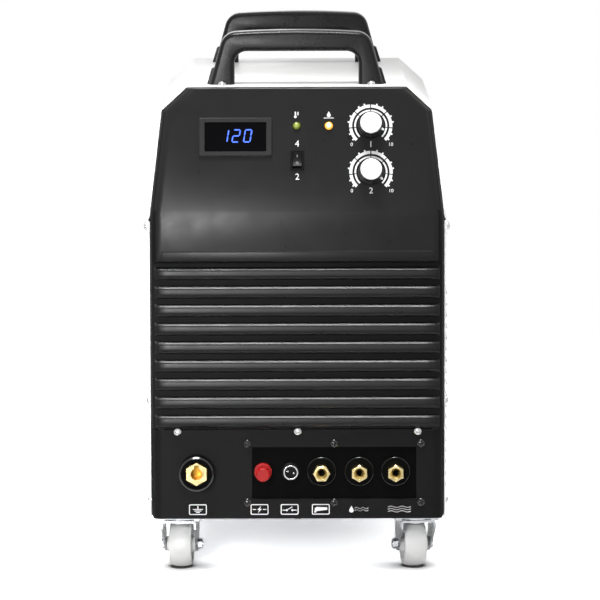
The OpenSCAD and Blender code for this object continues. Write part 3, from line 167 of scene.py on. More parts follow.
def coated(name, colour, roughness, **sockets):
    """Powder-coated sheet with a slight orange peel."""
    s = Shader(name, colour, roughness, **sockets)
    s.mottle(s.noise(6), 0.96, 1.04)
    s.roughen(s.noise(25), roughness - 0.03, roughness + 0.04)
    return s.grain((s.noise(650, 2), ORANGE_PEEL), (s.noise(35), ORANGE_PEEL * 2)).material


def plated(name, colour, roughness, **sockets):
    """Bare or plated metal with fine marks."""
    s = Shader(name, colour, roughness, Metallic=1, **sockets)
    s.mottle(s.noise(45), 0.9, 1.05)
    s.roughen(s.noise(220), roughness * 0.75, roughness * 1.35)
    return s.grain((s.noise(900), METAL_MARKS)).material


def gloss(name, colour, roughness, **sockets):
    """Smooth glossy plastic with faint handling marks."""
    s = Shader(name, colour, roughness, **sockets)
    s.mottle(s.noise(20), 0.95, 1.05)
    s.roughen(s.noise(90), roughness * 0.8, roughness * 1.3)
    return s.grain((s.noise(300, 2), HANDLING_MARKS)).material


def glowing(name, colour, strength):
    """A lit segment or lamp filament behind its lens."""
    s = Shader(name, colour, 0.4)
    s.bsdf.inputs["Emission Color"].default_value = s.colour
    s.bsdf.inputs["Emission Strength"].default_value = strength
    s.mottle(s.noise(300), 0.9, 1.1)
    return s.material


BLACK_MOULDING = moulded("black_moulding", (0.0085, 0.0085, 0.0087), 0.31, Specular_IOR_Level=0.17)
# Painted shade: a darker, duller black for the bed between the ribs and for the fascia's sides
PAINTED_SHADE_MOULDING = moulded("moulding_painted_shade", (0.004, 0.004, 0.0042), 0.5, Specular_IOR_Level=0.08)
BLACK_PAINT = coated("black_paint", (0.006, 0.006, 0.0063), 0.45, Specular_IOR_Level=0.07)
WHITE_PAINT = coated("white_paint", (0.80, 0.80, 0.79), 0.38)
BLACK_PLATE = moulded("black_plate", (0.002, 0.002, 0.002), 0.5, Specular_IOR_Level=0.02)
BLACK_FITTING = moulded("black_fitting", (0.003, 0.003, 0.003), 0.24, Specular_IOR_Level=0.12)
HANDLE_GRIP = moulded("handle_grip", (0.0055, 0.0055, 0.0058), 0.28, Specular_IOR_Level=0.22)
ZINC = plated("zinc_steel", (0.60, 0.61, 0.63), 0.24)
BRIGHT_SCREW = plated("bright_screw", (0.58, 0.58, 0.58), 0.22)
BLACK_SCREW = gloss("black_screw", (0.003, 0.003, 0.003), 0.14, Specular_IOR_Level=0.6)
GREY_BEZEL = moulded("grey_bezel", (0.015, 0.015, 0.0156), 0.38, Specular_IOR_Level=0.2)
SMOKED = gloss("smoked_window", (0.001, 0.001, 0.0014), 0.08, Specular_IOR_Level=0.05)
DIGIT_BLUE = glowing("digit_blue", (0.055, 0.14, 0.95), 0.85)
GREEN_LENS = gloss("green_lens", (0.20, 0.26, 0.012), 0.2)
AMBER_LENS = gloss("amber_lens", (0.95, 0.5, 0.06), 0.2)
BLACK_KNOB = moulded("black_knob", (0.008, 0.008, 0.0082), 0.35, Specular_IOR_Level=0.2)
WHITE_CAP = gloss("white_cap", (0.86, 0.86, 0.85), 0.3)
DULL_METAL = plated("dull_metal", (0.6, 0.6, 0.6), 0.4)
BRASS = plated("bright_brass", (0.66, 0.54, 0.27), 0.22)
# Painted shade: a darker brass for the inside of the earth socket's bore
BRASS_BORE_SHADE = plated("brass_bore_painted_shade", (0.42, 0.22, 0.03), 0.35)
BRIGHT_EDGE = gloss("bright_edge", (0.004, 0.004, 0.004), 0.16, Specular_IOR_Level=0.5)
RED = gloss("red_plastic", (0.31, 0.007, 0.007), 0.32, Specular_IOR_Level=0.25)
ROCKER = moulded("rocker_moulding", (0.0035, 0.0035, 0.0036), 0.36, Specular_IOR_Level=0.1)
DULL_PRINT = gloss("dull_print", (0.22, 0.22, 0.22), 0.5)
CHROME = plated("chrome_ring", (0.82, 0.82, 0.84), 0.1)
NYLON = moulded("white_nylon", (0.76, 0.76, 0.75), 0.35)
CORE = plated("core_steel", (0.12, 0.12, 0.13), 0.5)
COPPER = gloss("copper_winding", (0.45, 0.2, 0.08), 0.3)
BLUE_CAN = gloss("blue_can", (0.04, 0.1, 0.33), 0.35)
BOARD = gloss("circuit_board", (0.02, 0.16, 0.06), 0.4)
PRINT = gloss("white_print", (0.8, 0.8, 0.8), 0.45)

BY_SLOT = {
    "black_moulding": BLACK_MOULDING, "black_paint": BLACK_PAINT, "white_paint": WHITE_PAINT,
    "black_plate": BLACK_PLATE, "handle_grip": HANDLE_GRIP, "zinc_steel": ZINC,
    "black_screw": BLACK_SCREW, "grey_bezel": GREY_BEZEL, "dark_window": SMOKED,
    "green_lamp": GREEN_LENS, "amber_lamp": AMBER_LENS, "black_knob": BLACK_KNOB,
    "white_cap": WHITE_CAP, "dull_metal": DULL_METAL, "bright_brass": BRASS, "red_plastic": RED,
    "chrome_ring": CHROME, "white_nylon": NYLON, "core_steel": CORE, "copper_winding": COPPER,
    "blue_can": BLUE_CAN, "circuit_board": BOARD,
}


def paint(obj, material):
    obj.data.materials.clear()
    obj.data.materials.append(material)


for name, node in nodes.items():
    paint(node, BY_SLOT[slot_of[name]])


# ---- Pieces ----
WELD, TIGHT_WELD = 2e-6, 1e-7  # corners closer than this are one
FLAT_ANGLE = math.radians(0.5)  # faces that meet at less are one
SMOOTH_ANGLE, EDGE_ANGLE = 40, 32  # degrees from which an edge stays sharp, and gets rounded


def mesh_from(bm, name):
    """Turns a finished bmesh into a mesh."""
    mesh = bpy.data.meshes.new(name)
    bm.to_mesh(mesh)
    bm.free()
    return mesh


def in_scene(name, data):
    """Makes an object of the data and links it to the scene."""
    obj = bpy.data.objects.new(name, data)
    bpy.context.scene.collection.objects.link(obj)
    return obj


def piece(name, bm, material, body="chassis", slot=None, smooth=SMOOTH_ANGLE):
    """Makes an object of a bmesh, smooth except at edges sharper than the angle in degrees."""
    bmesh.ops.recalc_face_normals(bm, faces=bm.faces)
    obj = in_scene(name, mesh_from(bm, name))
    paint(obj, material)
    obj.data.shade_smooth()
    obj.data.set_sharp_from_angle(angle=math.radians(smooth))
    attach(obj, body)
    return obj


def round_edges(obj, width, segments=2, angle=EDGE_ANGLE):
    """Rounds the edges sharper than the angle in degrees."""
    bevel = obj.modifiers.new("edges", "BEVEL")
    bevel.width = width
    bevel.segments = segments
    bevel.limit_method = "ANGLE"
    bevel.angle_limit = math.radians(angle)
    bevel.harden_normals = True
    bevel.use_clamp_overlap = True


def cleaned(mesh):
    """A bmesh of a mesh with its corners joined and its flat faces whole."""
    bm = bmesh.new()
    bm.from_mesh(mesh)
    bmesh.ops.remove_doubles(bm, verts=bm.verts, dist=WELD)
    bmesh.ops.dissolve_limit(bm, angle_limit=FLAT_ANGLE, verts=bm.verts, edges=bm.edges)
    return bm


ROUNDINGS = {
    0.0002: ["top_cover", "left_side_panel", "right_side_panel"],
    0.0003: ["rear_panel", "connector_plate", "cable_gland", "mains_switch_body",
             "rocker_housing", "mode_rocker", "caster_plates", "front_left_fork",
             "front_right_fork", "rear_left_fork", "rear_right_fork"],
    0.00025: ["earth_socket_brass", "torch_fitting", "water_fitting", "air_fitting", "air_inlet",
              "pilot_post_base", "pilot_post_knob", "switch_socket_shell",
              "switch_socket_insert", "current_knob", "time_knob", "current_knob_cap",
              "time_knob_cap", "mains_switch_knob", "caster_bolts"],
    0.0005: ["lower_panel", "earth_socket_insulator", "fitting_bushings", "display_bezel"],
}
FINISHES = {"rocker_housing": ROCKER, "mode_rocker": ROCKER, "switch_socket_insert": BLACK_FITTING}
SHALLOW_BENDS = {"top_cover": 8, "left_side_panel": 8, "right_side_panel": 8}


def rounded_node(node, width):
    """A copy of a CAD node with its edges rounded to the given width, which stands for the node."""
    angle = SHALLOW_BENDS.get(node, EDGE_ANGLE)
    material = FINISHES.get(node, BY_SLOT[slot_of[node]])
    obj = piece(node + "_body", cleaned(nodes[node].data), material, body_of[node],
                slot_of[node], angle)
    round_edges(obj, width, angle=angle)
    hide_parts(node)
    return obj


rounded = {name: rounded_node(name, width) for width, names in ROUNDINGS.items()
           for name in names}


# ---- Second materials of the connectors, with painted shade inside their bores ----
FITTINGS = "torch_fitting", "water_fitting", "air_fitting"
EARTH_BORE_R, FITTING_BORE_R = 0.0097, 0.0027
EARTH_MOUTH, FITTING_MOUTH = 0.0005, 0.0045  # a bore is painted dark from this depth on, as painted shade
SHELL_RIM = 0.001
PIN_X, PIN_R = 0.0032, 0.0012


def refinish(obj, material, chosen):
    """Gives the faces chosen by their centre and normal another material."""
    obj.data.materials.append(material)
    for face in obj.data.polygons:
        if chosen(face.center, face.normal):
            face.material_index = len(obj.data.materials) - 1


def in_bore(node, radius, mouth):
    """Tests whether a face lies within a connector's bore, deeper than its mouth, where shade is
    painted.
    """
    low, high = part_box(node)

    def test(centre, _):
        across = math.hypot(centre.x - (low[0] + high[0]) / 2, centre.z - CONNECTOR_Z)
        return across < radius and centre.y - low[1] > mouth
    return test


def on_turned_edge(_, normal):
    """Tests whether a face is part of a bushing's rounded front edge."""
    return -0.9 < normal.y < -0.4


def behind_rim(centre, normal):
    """Tests whether a face of the switch socket's shell is other than its bright front."""
    return normal.y > -0.5 or centre.y > shell_low[1] + SHELL_RIM


def on_pin(centre, _):
    """Tests whether a face of the switch socket's insert is on one of its two pins."""
    return min(math.hypot(centre.x - insert_x - x, centre.z - CONNECTOR_Z + x / 3)
               for x in (-PIN_X, PIN_X)) < PIN_R


# Painted shade: the bores are painted a darker brass in the earth socket and black in the fittings
refinish(rounded["earth_socket_brass"], BRASS_BORE_SHADE,
         in_bore("earth_socket_brass", EARTH_BORE_R, EARTH_MOUTH))
for fitting in FITTINGS:
    refinish(rounded[fitting], BLACK_FITTING, in_bore(fitting, FITTING_BORE_R, FITTING_MOUTH))
for node in ("earth_socket_insulator", "fitting_bushings"):
    refinish(rounded[node], BRIGHT_EDGE, on_turned_edge)
insert_low, insert_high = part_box("switch_socket_insert")
insert_x = (insert_low[0] + insert_high[0]) / 2
shell_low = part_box("switch_socket_shell")[0]
refinish(rounded["switch_socket_shell"], BLACK_FITTING, behind_rim)
refinish(rounded["switch_socket_insert"], CHROME, on_pin)


# ---- Shapes ----
ARC_STEP = 5  # degrees
CORNER_STEPS = 5


def quarter_turn(steps):
    """Angles from 0 to a right angle, in radians."""
    return [math.pi / 2 * i / steps for i in range(steps + 1)]


def full_turn(steps):
    """Angles once round from 0, in radians."""
    return [2 * math.pi * i / steps for i in range(steps)]


def join_rings(bm, rings):
    """Joins closed rings of equally many corners with quads."""
    count = len(rings[0])
    for lower, upper in zip(rings, rings[1:]):
        for i in range(count):
            k = (i + 1) % count
            bm.faces.new((lower[i], lower[k], upper[k], upper[i]))


def add_loft(bm, rings):
    """A solid through closed rings of equally many points, with both ends closed."""
    made = [[bm.verts.new(p) for p in ring] for ring in rings]
    join_rings(bm, made)
    bm.faces.new(reversed(made[0]))
    bm.faces.new(made[-1])


def add_prism(bm, outline, low, high, place=Matrix()):
    """An outline of (x, y) points drawn out between two heights."""
    add_loft(bm, [[place @ Vector((x, y, z)) for x, y in outline] for z in (low, high)])


def add_frame(bm, outer, inner, low, high, place):
    """The band between two outlines of equal length, drawn out between two heights."""
    rings = (outer, low), (outer, high), (inner, high), (inner, low)
    made = [[bm.verts.new(place @ Vector((x, y, z))) for x, y in ring] for ring, z in rings]
    join_rings(bm, made + made[:1])


def add_lathe(bm, profile, place=Matrix(), segments=48):
    """A profile of (radius, height) points turned about Z; at radius 0 it closes on the axis."""
    rings = []
    for r, z in profile:
        if r == 0:
            rings.append([bm.verts.new(place @ Vector((0, 0, z)))])
            continue
        rings.append([bm.verts.new(place @ Vector((r * math.cos(a), r * math.sin(a), z)))
                      for a in full_turn(segments)])
    for lower, upper in zip(rings, rings[1:]):
        for i in range(segments):
            k = (i + 1) % segments
            corners = [lower[i % len(lower)], lower[k % len(lower)],
                       upper[k % len(upper)], upper[i % len(upper)]]
            corners = [c for n, c in enumerate(corners) if c not in corners[:n]]
            bm.faces.new(corners)


def arc(centre, radius, start, end, steps):
    """Points of an arc, angles in degrees."""
    return [(centre[0] + radius * math.cos(math.radians(start + (end - start) * i / steps)),
             centre[1] + radius * math.sin(math.radians(start + (end - start) * i / steps)))
            for i in range(steps + 1)]


def rounded_box(width, height, radius):
    """An anticlockwise rectangle outline with round corners."""
    x, y = width / 2 - radius, height / 2 - radius
    points = []
    for sx, sy, start in ((1, 1, 0), (-1, 1, 90), (-1, -1, 180), (1, -1, 270)):
        points += arc((sx * x, sy * y), radius, start, start + 90, CORNER_STEPS)
    return points


def sector(r0, r1, start, end):
    """Outline of a ring's sector; angles in degrees, clockwise from the top."""
    steps = max(2, round(abs(end - start) / ARC_STEP))
    return (arc((0, 0), r1, 90 - start, 90 - end, steps)
            + arc((0, 0), r0, 90 - end, 90 - start, steps))


# ---- Fascia ----
BED_Y = FASCIA_Y + 0.0055  # the bed between the ribs
BED_HALF, BED_CLEAR, CUT_REACH = 0.1562, 0.0004, 0.002
RIB_TOP, RIB_PITCH, RIB_COUNT = 0.3354, 0.0202, 9  # RIB_TOP is the highest CAD rib's top
RIB_HALF, RIB_TAPER, RIB_END_R = 0.1547, 0.017, 0.060  # half length, curved end and its radius
RIB_FACE, RIB_ROUND, RIB_LEDGE = 0.0076, 0.0055, 0.0011  # face, round underside, ledge on top
RIB_EDGE, RIB_CROWN, RIB_LIFT = 0.0020, 0.0005, 0.0017  # chamfer, crown, lift over the CAD rib
RIB_ROOT, RIB_CORNER, RIB_CORNER_STOP = 0.0006, 0.0022, 0.0004
TAPER_STEPS = 8
CHAMFER = (1.2, -0.08), (1.05, -0.04), (0.95, 0.03), (0.18, 0.92), (0.08, 1.06), (0, 1.25)
CROWN_SHARES = 0.2, 0.4, 0.6, 0.8, 1
LIP_Z, LIP_HALF, BAND_Z = 0.3560, 0.1475, 0.3450
LIP_END, LIP_END_SHARE = 0.003, 0.1  # the strip's ends run down to a share of its height
FASCIA_ROUNDING = 0.0005
BED_TOLERANCE = 0.0002


def carved(body, tool):
    """The body's mesh less the tool's."""
    base, cutter = in_scene("base", body), in_scene("cutter", tool)
    boolean = base.modifiers.new("cut", "BOOLEAN")
    boolean.operation = "DIFFERENCE"
    boolean.solver = "EXACT"
    boolean.use_self = True
    boolean.object = cutter
    bpy.context.view_layer.update()
    evaluated = base.evaluated_get(bpy.context.evaluated_depsgraph_get())
    result = bpy.data.meshes.new_from_object(evaluated)
    for obj in (base, cutter):
        bpy.data.objects.remove(obj)
    return result


def fascia_less_ribs():
    """The CAD fascia's mesh, cut back to the bed where the ribs stand."""
    body = mesh_from(cleaned(nodes["upper_fascia"].data), "fascia")
    front = FASCIA_Y - CUT_REACH
    corners = [(-BED_HALF, front), (BED_HALF, front), (BED_HALF, BED_Y), (-BED_HALF, BED_Y)]
    low = RIB_TOP - (RIB_COUNT - 1) * RIB_PITCH - RIB_FACE - RIB_ROUND - BED_CLEAR
    cut = bmesh.new()
    add_prism(cut, corners, low, RIB_TOP + RIB_LEDGE + BED_CLEAR)
    bmesh.ops.recalc_face_normals(cut, faces=cut.faces)
    return carved(body, mesh_from(cut, "bed_cut"))


def rib_profile(top, back):
    """A rib's section as (y, z) points, its face set back by the given distance."""
    face = FASCIA_Y + back
    depth = BED_Y - face
    edge = min(RIB_EDGE, depth * 0.6)
    turn = min(RIB_ROUND, depth)
    crown = min(RIB_CROWN, depth * 0.2)
    points = [(BED_Y + RIB_ROOT, top + RIB_LEDGE), (BED_Y, top + RIB_LEDGE)]
    points += [(face + crown + edge * y, top - edge * z) for y, z in CHAMFER]
    low, high = top - RIB_FACE, top - edge * CHAMFER[-1][1]
    points += [(face + crown * (1 - k) ** 2, high + (low - high) * k) for k in CROWN_SHARES]
    points += [(face + turn * (1 - math.cos(a)), low - RIB_ROUND * math.sin(a))
               for a in quarter_turn(8)[1:]]
    return points + [(BED_Y + RIB_ROOT, low - RIB_ROUND)]


def make_ribs():
    """Ribs whose faces curve back at both ends and end in a rounded corner."""
    flat = RIB_HALF - RIB_TAPER
    stations = [(0, 0), (flat, 0)]
    for k in range(1, TAPER_STEPS + 1):
        x = RIB_TAPER * k / TAPER_STEPS
        stations.append((flat + x, RIB_END_R - math.sqrt(RIB_END_R ** 2 - x * x)))
    last = stations.pop()[1]
    for a in quarter_turn(6):
        stations.append((RIB_HALF - RIB_CORNER * (1 - math.sin(a)),
                         last + (RIB_CORNER - RIB_CORNER_STOP) * (1 - math.cos(a))))
    stations.sort()
    whole = [(-x, back) for x, back in stations[:0:-1]] + stations
    bm = bmesh.new()
    for i in range(RIB_COUNT):
        top = RIB_TOP + RIB_LIFT - i * RIB_PITCH
        add_loft(bm, [[(x, y, z) for y, z in rib_profile(top, back)] for x, back in whole])
    piece("fascia_ribs", bm, BLACK_MOULDING, slot="black_moulding", smooth=50)


def make_lip():
    """The raised strip along the fascia's lower edge, over the ribs."""
    profile = [(0.0006, LIP_Z + 0.0002), (0, LIP_Z), (-0.0009, LIP_Z - 0.00112),
               (-0.001, LIP_Z - 0.0015), (-0.0009, BAND_Z + 0.0006), (-0.0006, BAND_Z),
               (0.0006, BAND_Z - 0.0003)]
    stations = [(-LIP_HALF, LIP_END_SHARE), (-LIP_HALF + LIP_END, 1), (LIP_HALF - LIP_END, 1),
                (LIP_HALF, LIP_END_SHARE)]
    bm = bmesh.new()
    add_loft(bm, [[(x, FASCIA_Y + (y if y > 0 else y * k), z) for y, z in profile]
                  for x, k in stations])
    piece("fascia_lip", bm, BLACK_MOULDING, slot="black_moulding", smooth=30)


def in_painted_shade(centre, normal):
    """Tests whether a face of the fascia is the ribs' bed or looks to one side, where shade is
    painted.
    """
    return (abs(normal.x) > 0.6
            or normal.y < -0.9 and abs(centre.y - BED_Y) < BED_TOLERANCE)


def make_fascia():
    """The fascia without its ribs, its bed and its sides painted a darker, duller black as painted
    shade.
    """
    body = piece("upper_fascia_body", cleaned(fascia_less_ribs()), BLACK_MOULDING,
                 slot="black_moulding", smooth=EDGE_ANGLE)
    refinish(body, PAINTED_SHADE_MOULDING, in_painted_shade)
    round_edges(body, FASCIA_ROUNDING)
    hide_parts("upper_fascia")


make_fascia()
make_ribs()
make_lip()


# ---- White prints ----
PRINT_LOW, PRINT_HIGH = -0.05 * MM, 0.06 * MM
FONT_SIZE = 1.4  # a digit's height in the font's units


def add_print(bm, outline, place):
    """An outline in millimetres, printed."""
    add_prism(bm, [(x * MM, y * MM) for x, y in outline], PRINT_LOW, PRINT_HIGH, place)


def add_stroke(bm, points, width, place):
    """A printed line through (x, y) points in millimetres, each run a bar with square ends."""
    for (x0, y0), (x1, y1) in zip(points, points[1:]):
        length = math.hypot(x1 - x0, y1 - y0)
        ux, uy = (x1 - x0) / length * width / 2, (y1 - y0) / length * width / 2
        x0, y0, x1, y1 = x0 - ux, y0 - uy, x1 + ux, y1 + uy
        outline = [(x1 - uy, y1 + ux), (x1 + uy, y1 - ux), (x0 + uy, y0 - ux), (x0 - uy, y0 + ux)]
        add_print(bm, outline, place)


def printed_number(name, text, height, place):
    """A plain number in Blender's own face, centred on the place."""
    curve = bpy.data.curves.new(name, "FONT")
    curve.body = text
    curve.align_x = "CENTER"
    curve.align_y = "CENTER"
    curve.size = height * FONT_SIZE
    curve.extrude = PRINT_HIGH
    source = in_scene(name + "_curve", curve)
    bpy.context.view_layer.update()
    mesh = bpy.data.meshes.new_from_object(source)
    bpy.data.objects.remove(source)
    bm = bmesh.new()
    bm.from_mesh(mesh)
    bmesh.ops.remove_doubles(bm, verts=bm.verts, dist=TIGHT_WELD)
    bmesh.ops.transform(bm, matrix=place, verts=bm.verts)
    piece(name, bm, PRINT)


# ---- Dials: radii and heights of the prints in millimetres, angles in degrees ----
DIAL_X = 0.0803
DIAL_ZS = {"current": 0.4896, "time": 0.4404}
DIAL_NUMBERS = {"current": "1", "time": "2"}
POINTERS = {"current": 110, "time": 124}
SCALE_END = 135
SCALE_GAPS = (-135, -96, -48, 0, 48, 96, 135)
GAP_HALF = 1.6
BANDS = (20.2, 23.5), (16.1, 17.9)
TICKS = 23.4, 25.3
TICK_PITCH, TICK_HALF, TICKS_A_SIDE = 16, 1.9, 8
SCALE_TEXTS = {"0": -20.8, "10": 21.6}
SCALE_TEXT_H, NUMBER_H = 3.8, 6.6
LABEL_Y = -20.6 * MM
POINTER_FOOT, POINTER_TIP, POINTER_HEIGHTS = (1.3, 12.2), (0.8, 15.3), (3.2, 6)


def make_dial_scale(name, z):
    """Two broken arcs with ticks, and plain numbers at the ends."""
    place = on_slope(DIAL_X, z)
    bm = bmesh.new()
    for start, end in zip(SCALE_GAPS, SCALE_GAPS[1:]):
        a0 = start + (GAP_HALF if start > -SCALE_END else 0)
        a1 = end - (GAP_HALF if end < SCALE_END else 0)
        for inner, outer in BANDS:
            add_print(bm, sector(inner, outer, a0, a1), place)
    for a in (TICK_PITCH * k for k in range(-TICKS_A_SIDE, TICKS_A_SIDE + 1) if k % 3):
        add_print(bm, sector(*TICKS, a - TICK_HALF, a + TICK_HALF), place)
    piece(name + "_scale", bm, PRINT)
    for text, x in SCALE_TEXTS.items():
        printed_number(f"{name}_scale_{text}", text, SCALE_TEXT_H * MM,
                       place @ Matrix.Translation((x * MM, LABEL_Y, 0)))
    printed_number(name + "_label", DIAL_NUMBERS[name], NUMBER_H * MM,
                   place @ Matrix.Translation((0, LABEL_Y, 0)))


def make_pointer(name, z):
    """The white fin on a knob's skirt."""
    turn = Matrix.Rotation(math.radians(-POINTERS[name]), 4, "Z")
    (foot_x, foot_y), (tip_x, tip_y) = POINTER_FOOT, POINTER_TIP
    outline = [(-foot_x, foot_y), (foot_x, foot_y), (tip_x, tip_y), (-tip_x, tip_y)]
    low, high = POINTER_HEIGHTS
    bm = bmesh.new()
    add_prism(bm, [(x * MM, y * MM) for x, y in outline], low * MM, high * MM,
              on_slope(DIAL_X, z) @ turn)
    round_edges(piece(name + "_pointer", bm, WHITE_CAP, name + "_dial"), 0.2 * MM)


for dial, dial_z in DIAL_ZS.items():
    make_dial_scale(dial, dial_z)
for dial, dial_z in DIAL_ZS.items():
    make_pointer(dial, dial_z)


# ---- Meter: its digits in millimetres ----
DISPLAY_X, DISPLAY_Z = -0.0665, 0.4778
GLASS_W, GLASS_H, GLASS_CLEAR, GLASS_CORNER = 0.067, 0.0324, 0.0002, 0.0004
GLASS_FLOOR, GLASS_TOP = -0.0002, 0.0018
DIGITS_X, DIGITS_Y = 0.8, 1.2
DIGIT_W, DIGIT_H, DIGIT_BAR, DIGIT_PITCH, DIGIT_LEAN = 7.0, 13.4, 1.35, 12.5, 0.16
SEGMENT_GAP = 0.25
SEGMENTS = {"1": "bc", "2": "abged", "0": "abcdef"}


def segment_outline(key):
    """A seven-segment bar, from the digit's centre, with pointed ends."""
    w, h, t = DIGIT_W / 2, DIGIT_H / 2, DIGIT_BAR / 2
    ends = {"a": ((-w, h), (w, h)), "g": ((-w, 0), (w, 0)), "d": ((-w, -h), (w, -h)),
            "f": ((-w, 0), (-w, h)), "b": ((w, 0), (w, h)),
            "e": ((-w, -h), (-w, 0)), "c": ((w, -h), (w, 0))}
    (x0, y0), (x1, y1) = ends[key]
    if y0 == y1:
        x0, x1 = x0 + SEGMENT_GAP, x1 - SEGMENT_GAP
        points = [(x0, y0), (x0 + t, y0 - t), (x1 - t, y0 - t),
                  (x1, y0), (x1 - t, y0 + t), (x0 + t, y0 + t)]
    else:
        y0, y1 = y0 + SEGMENT_GAP, y1 - SEGMENT_GAP
        points = [(x0, y0), (x0 + t, y0 + t), (x0 + t, y1 - t),
                  (x0, y1), (x0 - t, y1 - t), (x0 - t, y0 + t)]
    return [(x + y * DIGIT_LEAN, y) for x, y in points]


def make_meter(text):
    """The meter's dark window and the lit digits on it."""
    place = on_slope(DISPLAY_X, DISPLAY_Z)
    bm = bmesh.new()
    glass = rounded_box(GLASS_W - GLASS_CLEAR, GLASS_H - GLASS_CLEAR, GLASS_CORNER)
    add_prism(bm, glass, GLASS_FLOOR, GLASS_TOP, place)
    window = piece("meter_window", bm, SMOKED, slot="dark_window")
    round_edges(window, 0.15 * MM)
    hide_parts("display_window")
    lit = bmesh.new()
    centre = place @ Matrix.Translation((DIGITS_X * MM, DIGITS_Y * MM, GLASS_TOP))
    for i, digit in enumerate(text):
        spot = centre @ Matrix.Translation(((i - 1) * DIGIT_PITCH * MM, 0, 0))
        for key in SEGMENTS[digit]:
            add_print(lit, segment_outline(key), spot)
    piece("meter_digits", lit, DIGIT_BLUE)


make_meter("120")


# ---- Signal lamps ----
LAMP_Z = 0.4896
WATER_LAMP_X = 0.0348
RIM_R = 4.75 * MM
LENS_R = RIM_R - 0.35 * MM
BORE_R = LENS_R - 0.2 * MM
STEM_R, STEM_END = RIM_R - 0.7 * MM, -12 * MM
DOME_FOOT, DOME_H = 0.7 * MM, 3.2 * MM
# Where the lens's painted lighter centre lies and how far out it fades
GLOW_HEIGHT, GLOW_NEAR, GLOW_FAR = 4 * MM, 0.8 * MM, 3.8 * MM
LENS_GRAIN = 0.00006


def make_lamp(node, x, colour, centre_colour, glow):
    """A rim and a domed lens, its colour painted lighter towards its axis: a painted highlight on
    the unlit lamp, and on the lit lamp the colour of its glow.
    """
    place = on_slope(x, LAMP_Z)
    rim = bmesh.new()
    add_lathe(rim, [(BORE_R, -0.5 * MM), (RIM_R, -0.5 * MM), (RIM_R, 0.6 * MM),
                    (RIM_R - 0.25 * MM, 0.9 * MM), (LENS_R + 0.05 * MM, 0.95 * MM),
                    (BORE_R, 0.6 * MM), (BORE_R, -0.5 * MM)], place)
    piece(node + "_rim", rim, BLACK_FITTING, smooth=50)
    profile = [(0, STEM_END), (STEM_R, STEM_END), (STEM_R, 0), (LENS_R, 0.05 * MM)]
    profile += [(LENS_R * math.cos(a), DOME_FOOT + DOME_H * math.sin(a))
                for a in quarter_turn(10)[:-1]]
    profile.append((0, 3.9 * MM))
    dome = bmesh.new()
    add_lathe(dome, profile, place)
    s = Shader(node + "_lens", colour, 0.2, Coat_Weight=0.5)
    offset = s.nodes.new("ShaderNodeVectorMath")
    offset.operation = "DISTANCE"
    s.link(s.place, offset, 0)
    offset.inputs[1].default_value = place @ Vector((0, 0, GLOW_HEIGHT))
    outwards = s.spread(offset.outputs["Value"], 0, 1, GLOW_NEAR, GLOW_FAR)
    shade = s.blend(outwards, centre_colour, colour)
    s.link(shade, s.bsdf, "Base Color")
    if glow:
        s.link(shade, s.bsdf, "Emission Color")
        s.bsdf.inputs["Emission Strength"].default_value = glow
    s.grain((s.noise(1800, 2), LENS_GRAIN))
    obj = piece(node + "_lens", dome, s.material, slot=slot_of[node], smooth=50)
    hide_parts(node)


# The unlit green lamp's lens has a painted highlight at its centre
make_lamp("temp_lamp", 0, (0.11, 0.14, 0.004), (0.26, 0.32, 0.02), 0)
make_lamp("water_lamp", WATER_LAMP_X, (0.85, 0.36, 0.02), (1.0, 0.88, 0.55), 1.0)


# ---- Mode switch ----
ROCKER_X, ROCKER_Z = 0.0004, 0.4532
ROCKER_REST = math.radians(-10)
ROCKER_FACE = math.radians(11.94)
ROCKER_PIN = -1 * MM
MARK_Y = 4 * MM
MARK_HEIGHT = 1.2 * MM + MARK_Y * math.tan(ROCKER_FACE)
RING_RADII = 1.6, 1.05  # millimetres
MODE_LABELS = {"four": ("4", 0.4705), "two": ("2", 0.4355)}


def on_rocker(y):
    """Places a mark on the rocker's upper (y above 0) or lower half, in its rest position."""
    lean = ROCKER_FACE if y > 0 else -ROCKER_FACE
    pin = on_slope(ROCKER_X, ROCKER_Z) @ Matrix.Translation((0, 0, ROCKER_PIN))
    return (pin @ Matrix.Rotation(ROCKER_REST, 4, "X")
            @ Matrix.Translation((0, y, MARK_HEIGHT - ROCKER_PIN)) @ Matrix.Rotation(lean, 4, "X"))


def make_rocker_marks():
    """A bar on the rocker's upper half and a ring on its lower half."""
    bm = bmesh.new()
    add_stroke(bm, [(0, -1.2), (0, 1.2)], 0.7, on_rocker(MARK_Y))
    outer, inner = ([(r * MM * math.cos(a), r * MM * math.sin(a)) for a in full_turn(24)]
                    for r in RING_RADII)
    add_frame(bm, outer, inner, PRINT_LOW, PRINT_HIGH, on_rocker(-MARK_Y))
    piece("rocker_marks", bm, DULL_PRINT, "mode_rocker")


make_rocker_marks()
for mode, (digit, label_z) in MODE_LABELS.items():
    printed_number(f"mode_{mode}_label", digit, 7 * MM, on_slope(ROCKER_X, label_z))


# ---- Pictograms: drawn in millimetres about their places ----
LAMP_LABEL_Z = 0.5015
ICON_Z = 0.0722
ICON_XS = {"earth": -0.1090, "pilot": -0.0418, "switch": -0.0090, "torch": 0.0250}
WATER_ICON_X, AIR_ICON_X = 0.0659, 0.1107
ICON_LINE = 0.9
WAVE_PITCH, WAVE_HEIGHT, WAVE_LINE, WAVE_STEPS = 2.5, 0.75, 0.8, 16


def add_drop(bm, x, y, size, place):
    """A water drop of the given height."""
    r = size * 0.32
    outline = [(x, y + size / 2)] + arc((x, y - size / 2 + r), r, 150, 390, 16)
    add_print(bm, outline, place)


def add_waves(bm, x, width, lines, place):
    """Parallel wavy lines, one over the other."""
    for line in range(lines):
        level = (line - (lines - 1) / 2) * WAVE_PITCH
        points = [(x - width / 2 + width * i / WAVE_STEPS,
                   level + WAVE_HEIGHT * math.sin(i * math.pi / 4)) for i in range(WAVE_STEPS + 1)]
        add_stroke(bm, points, WAVE_LINE, place)


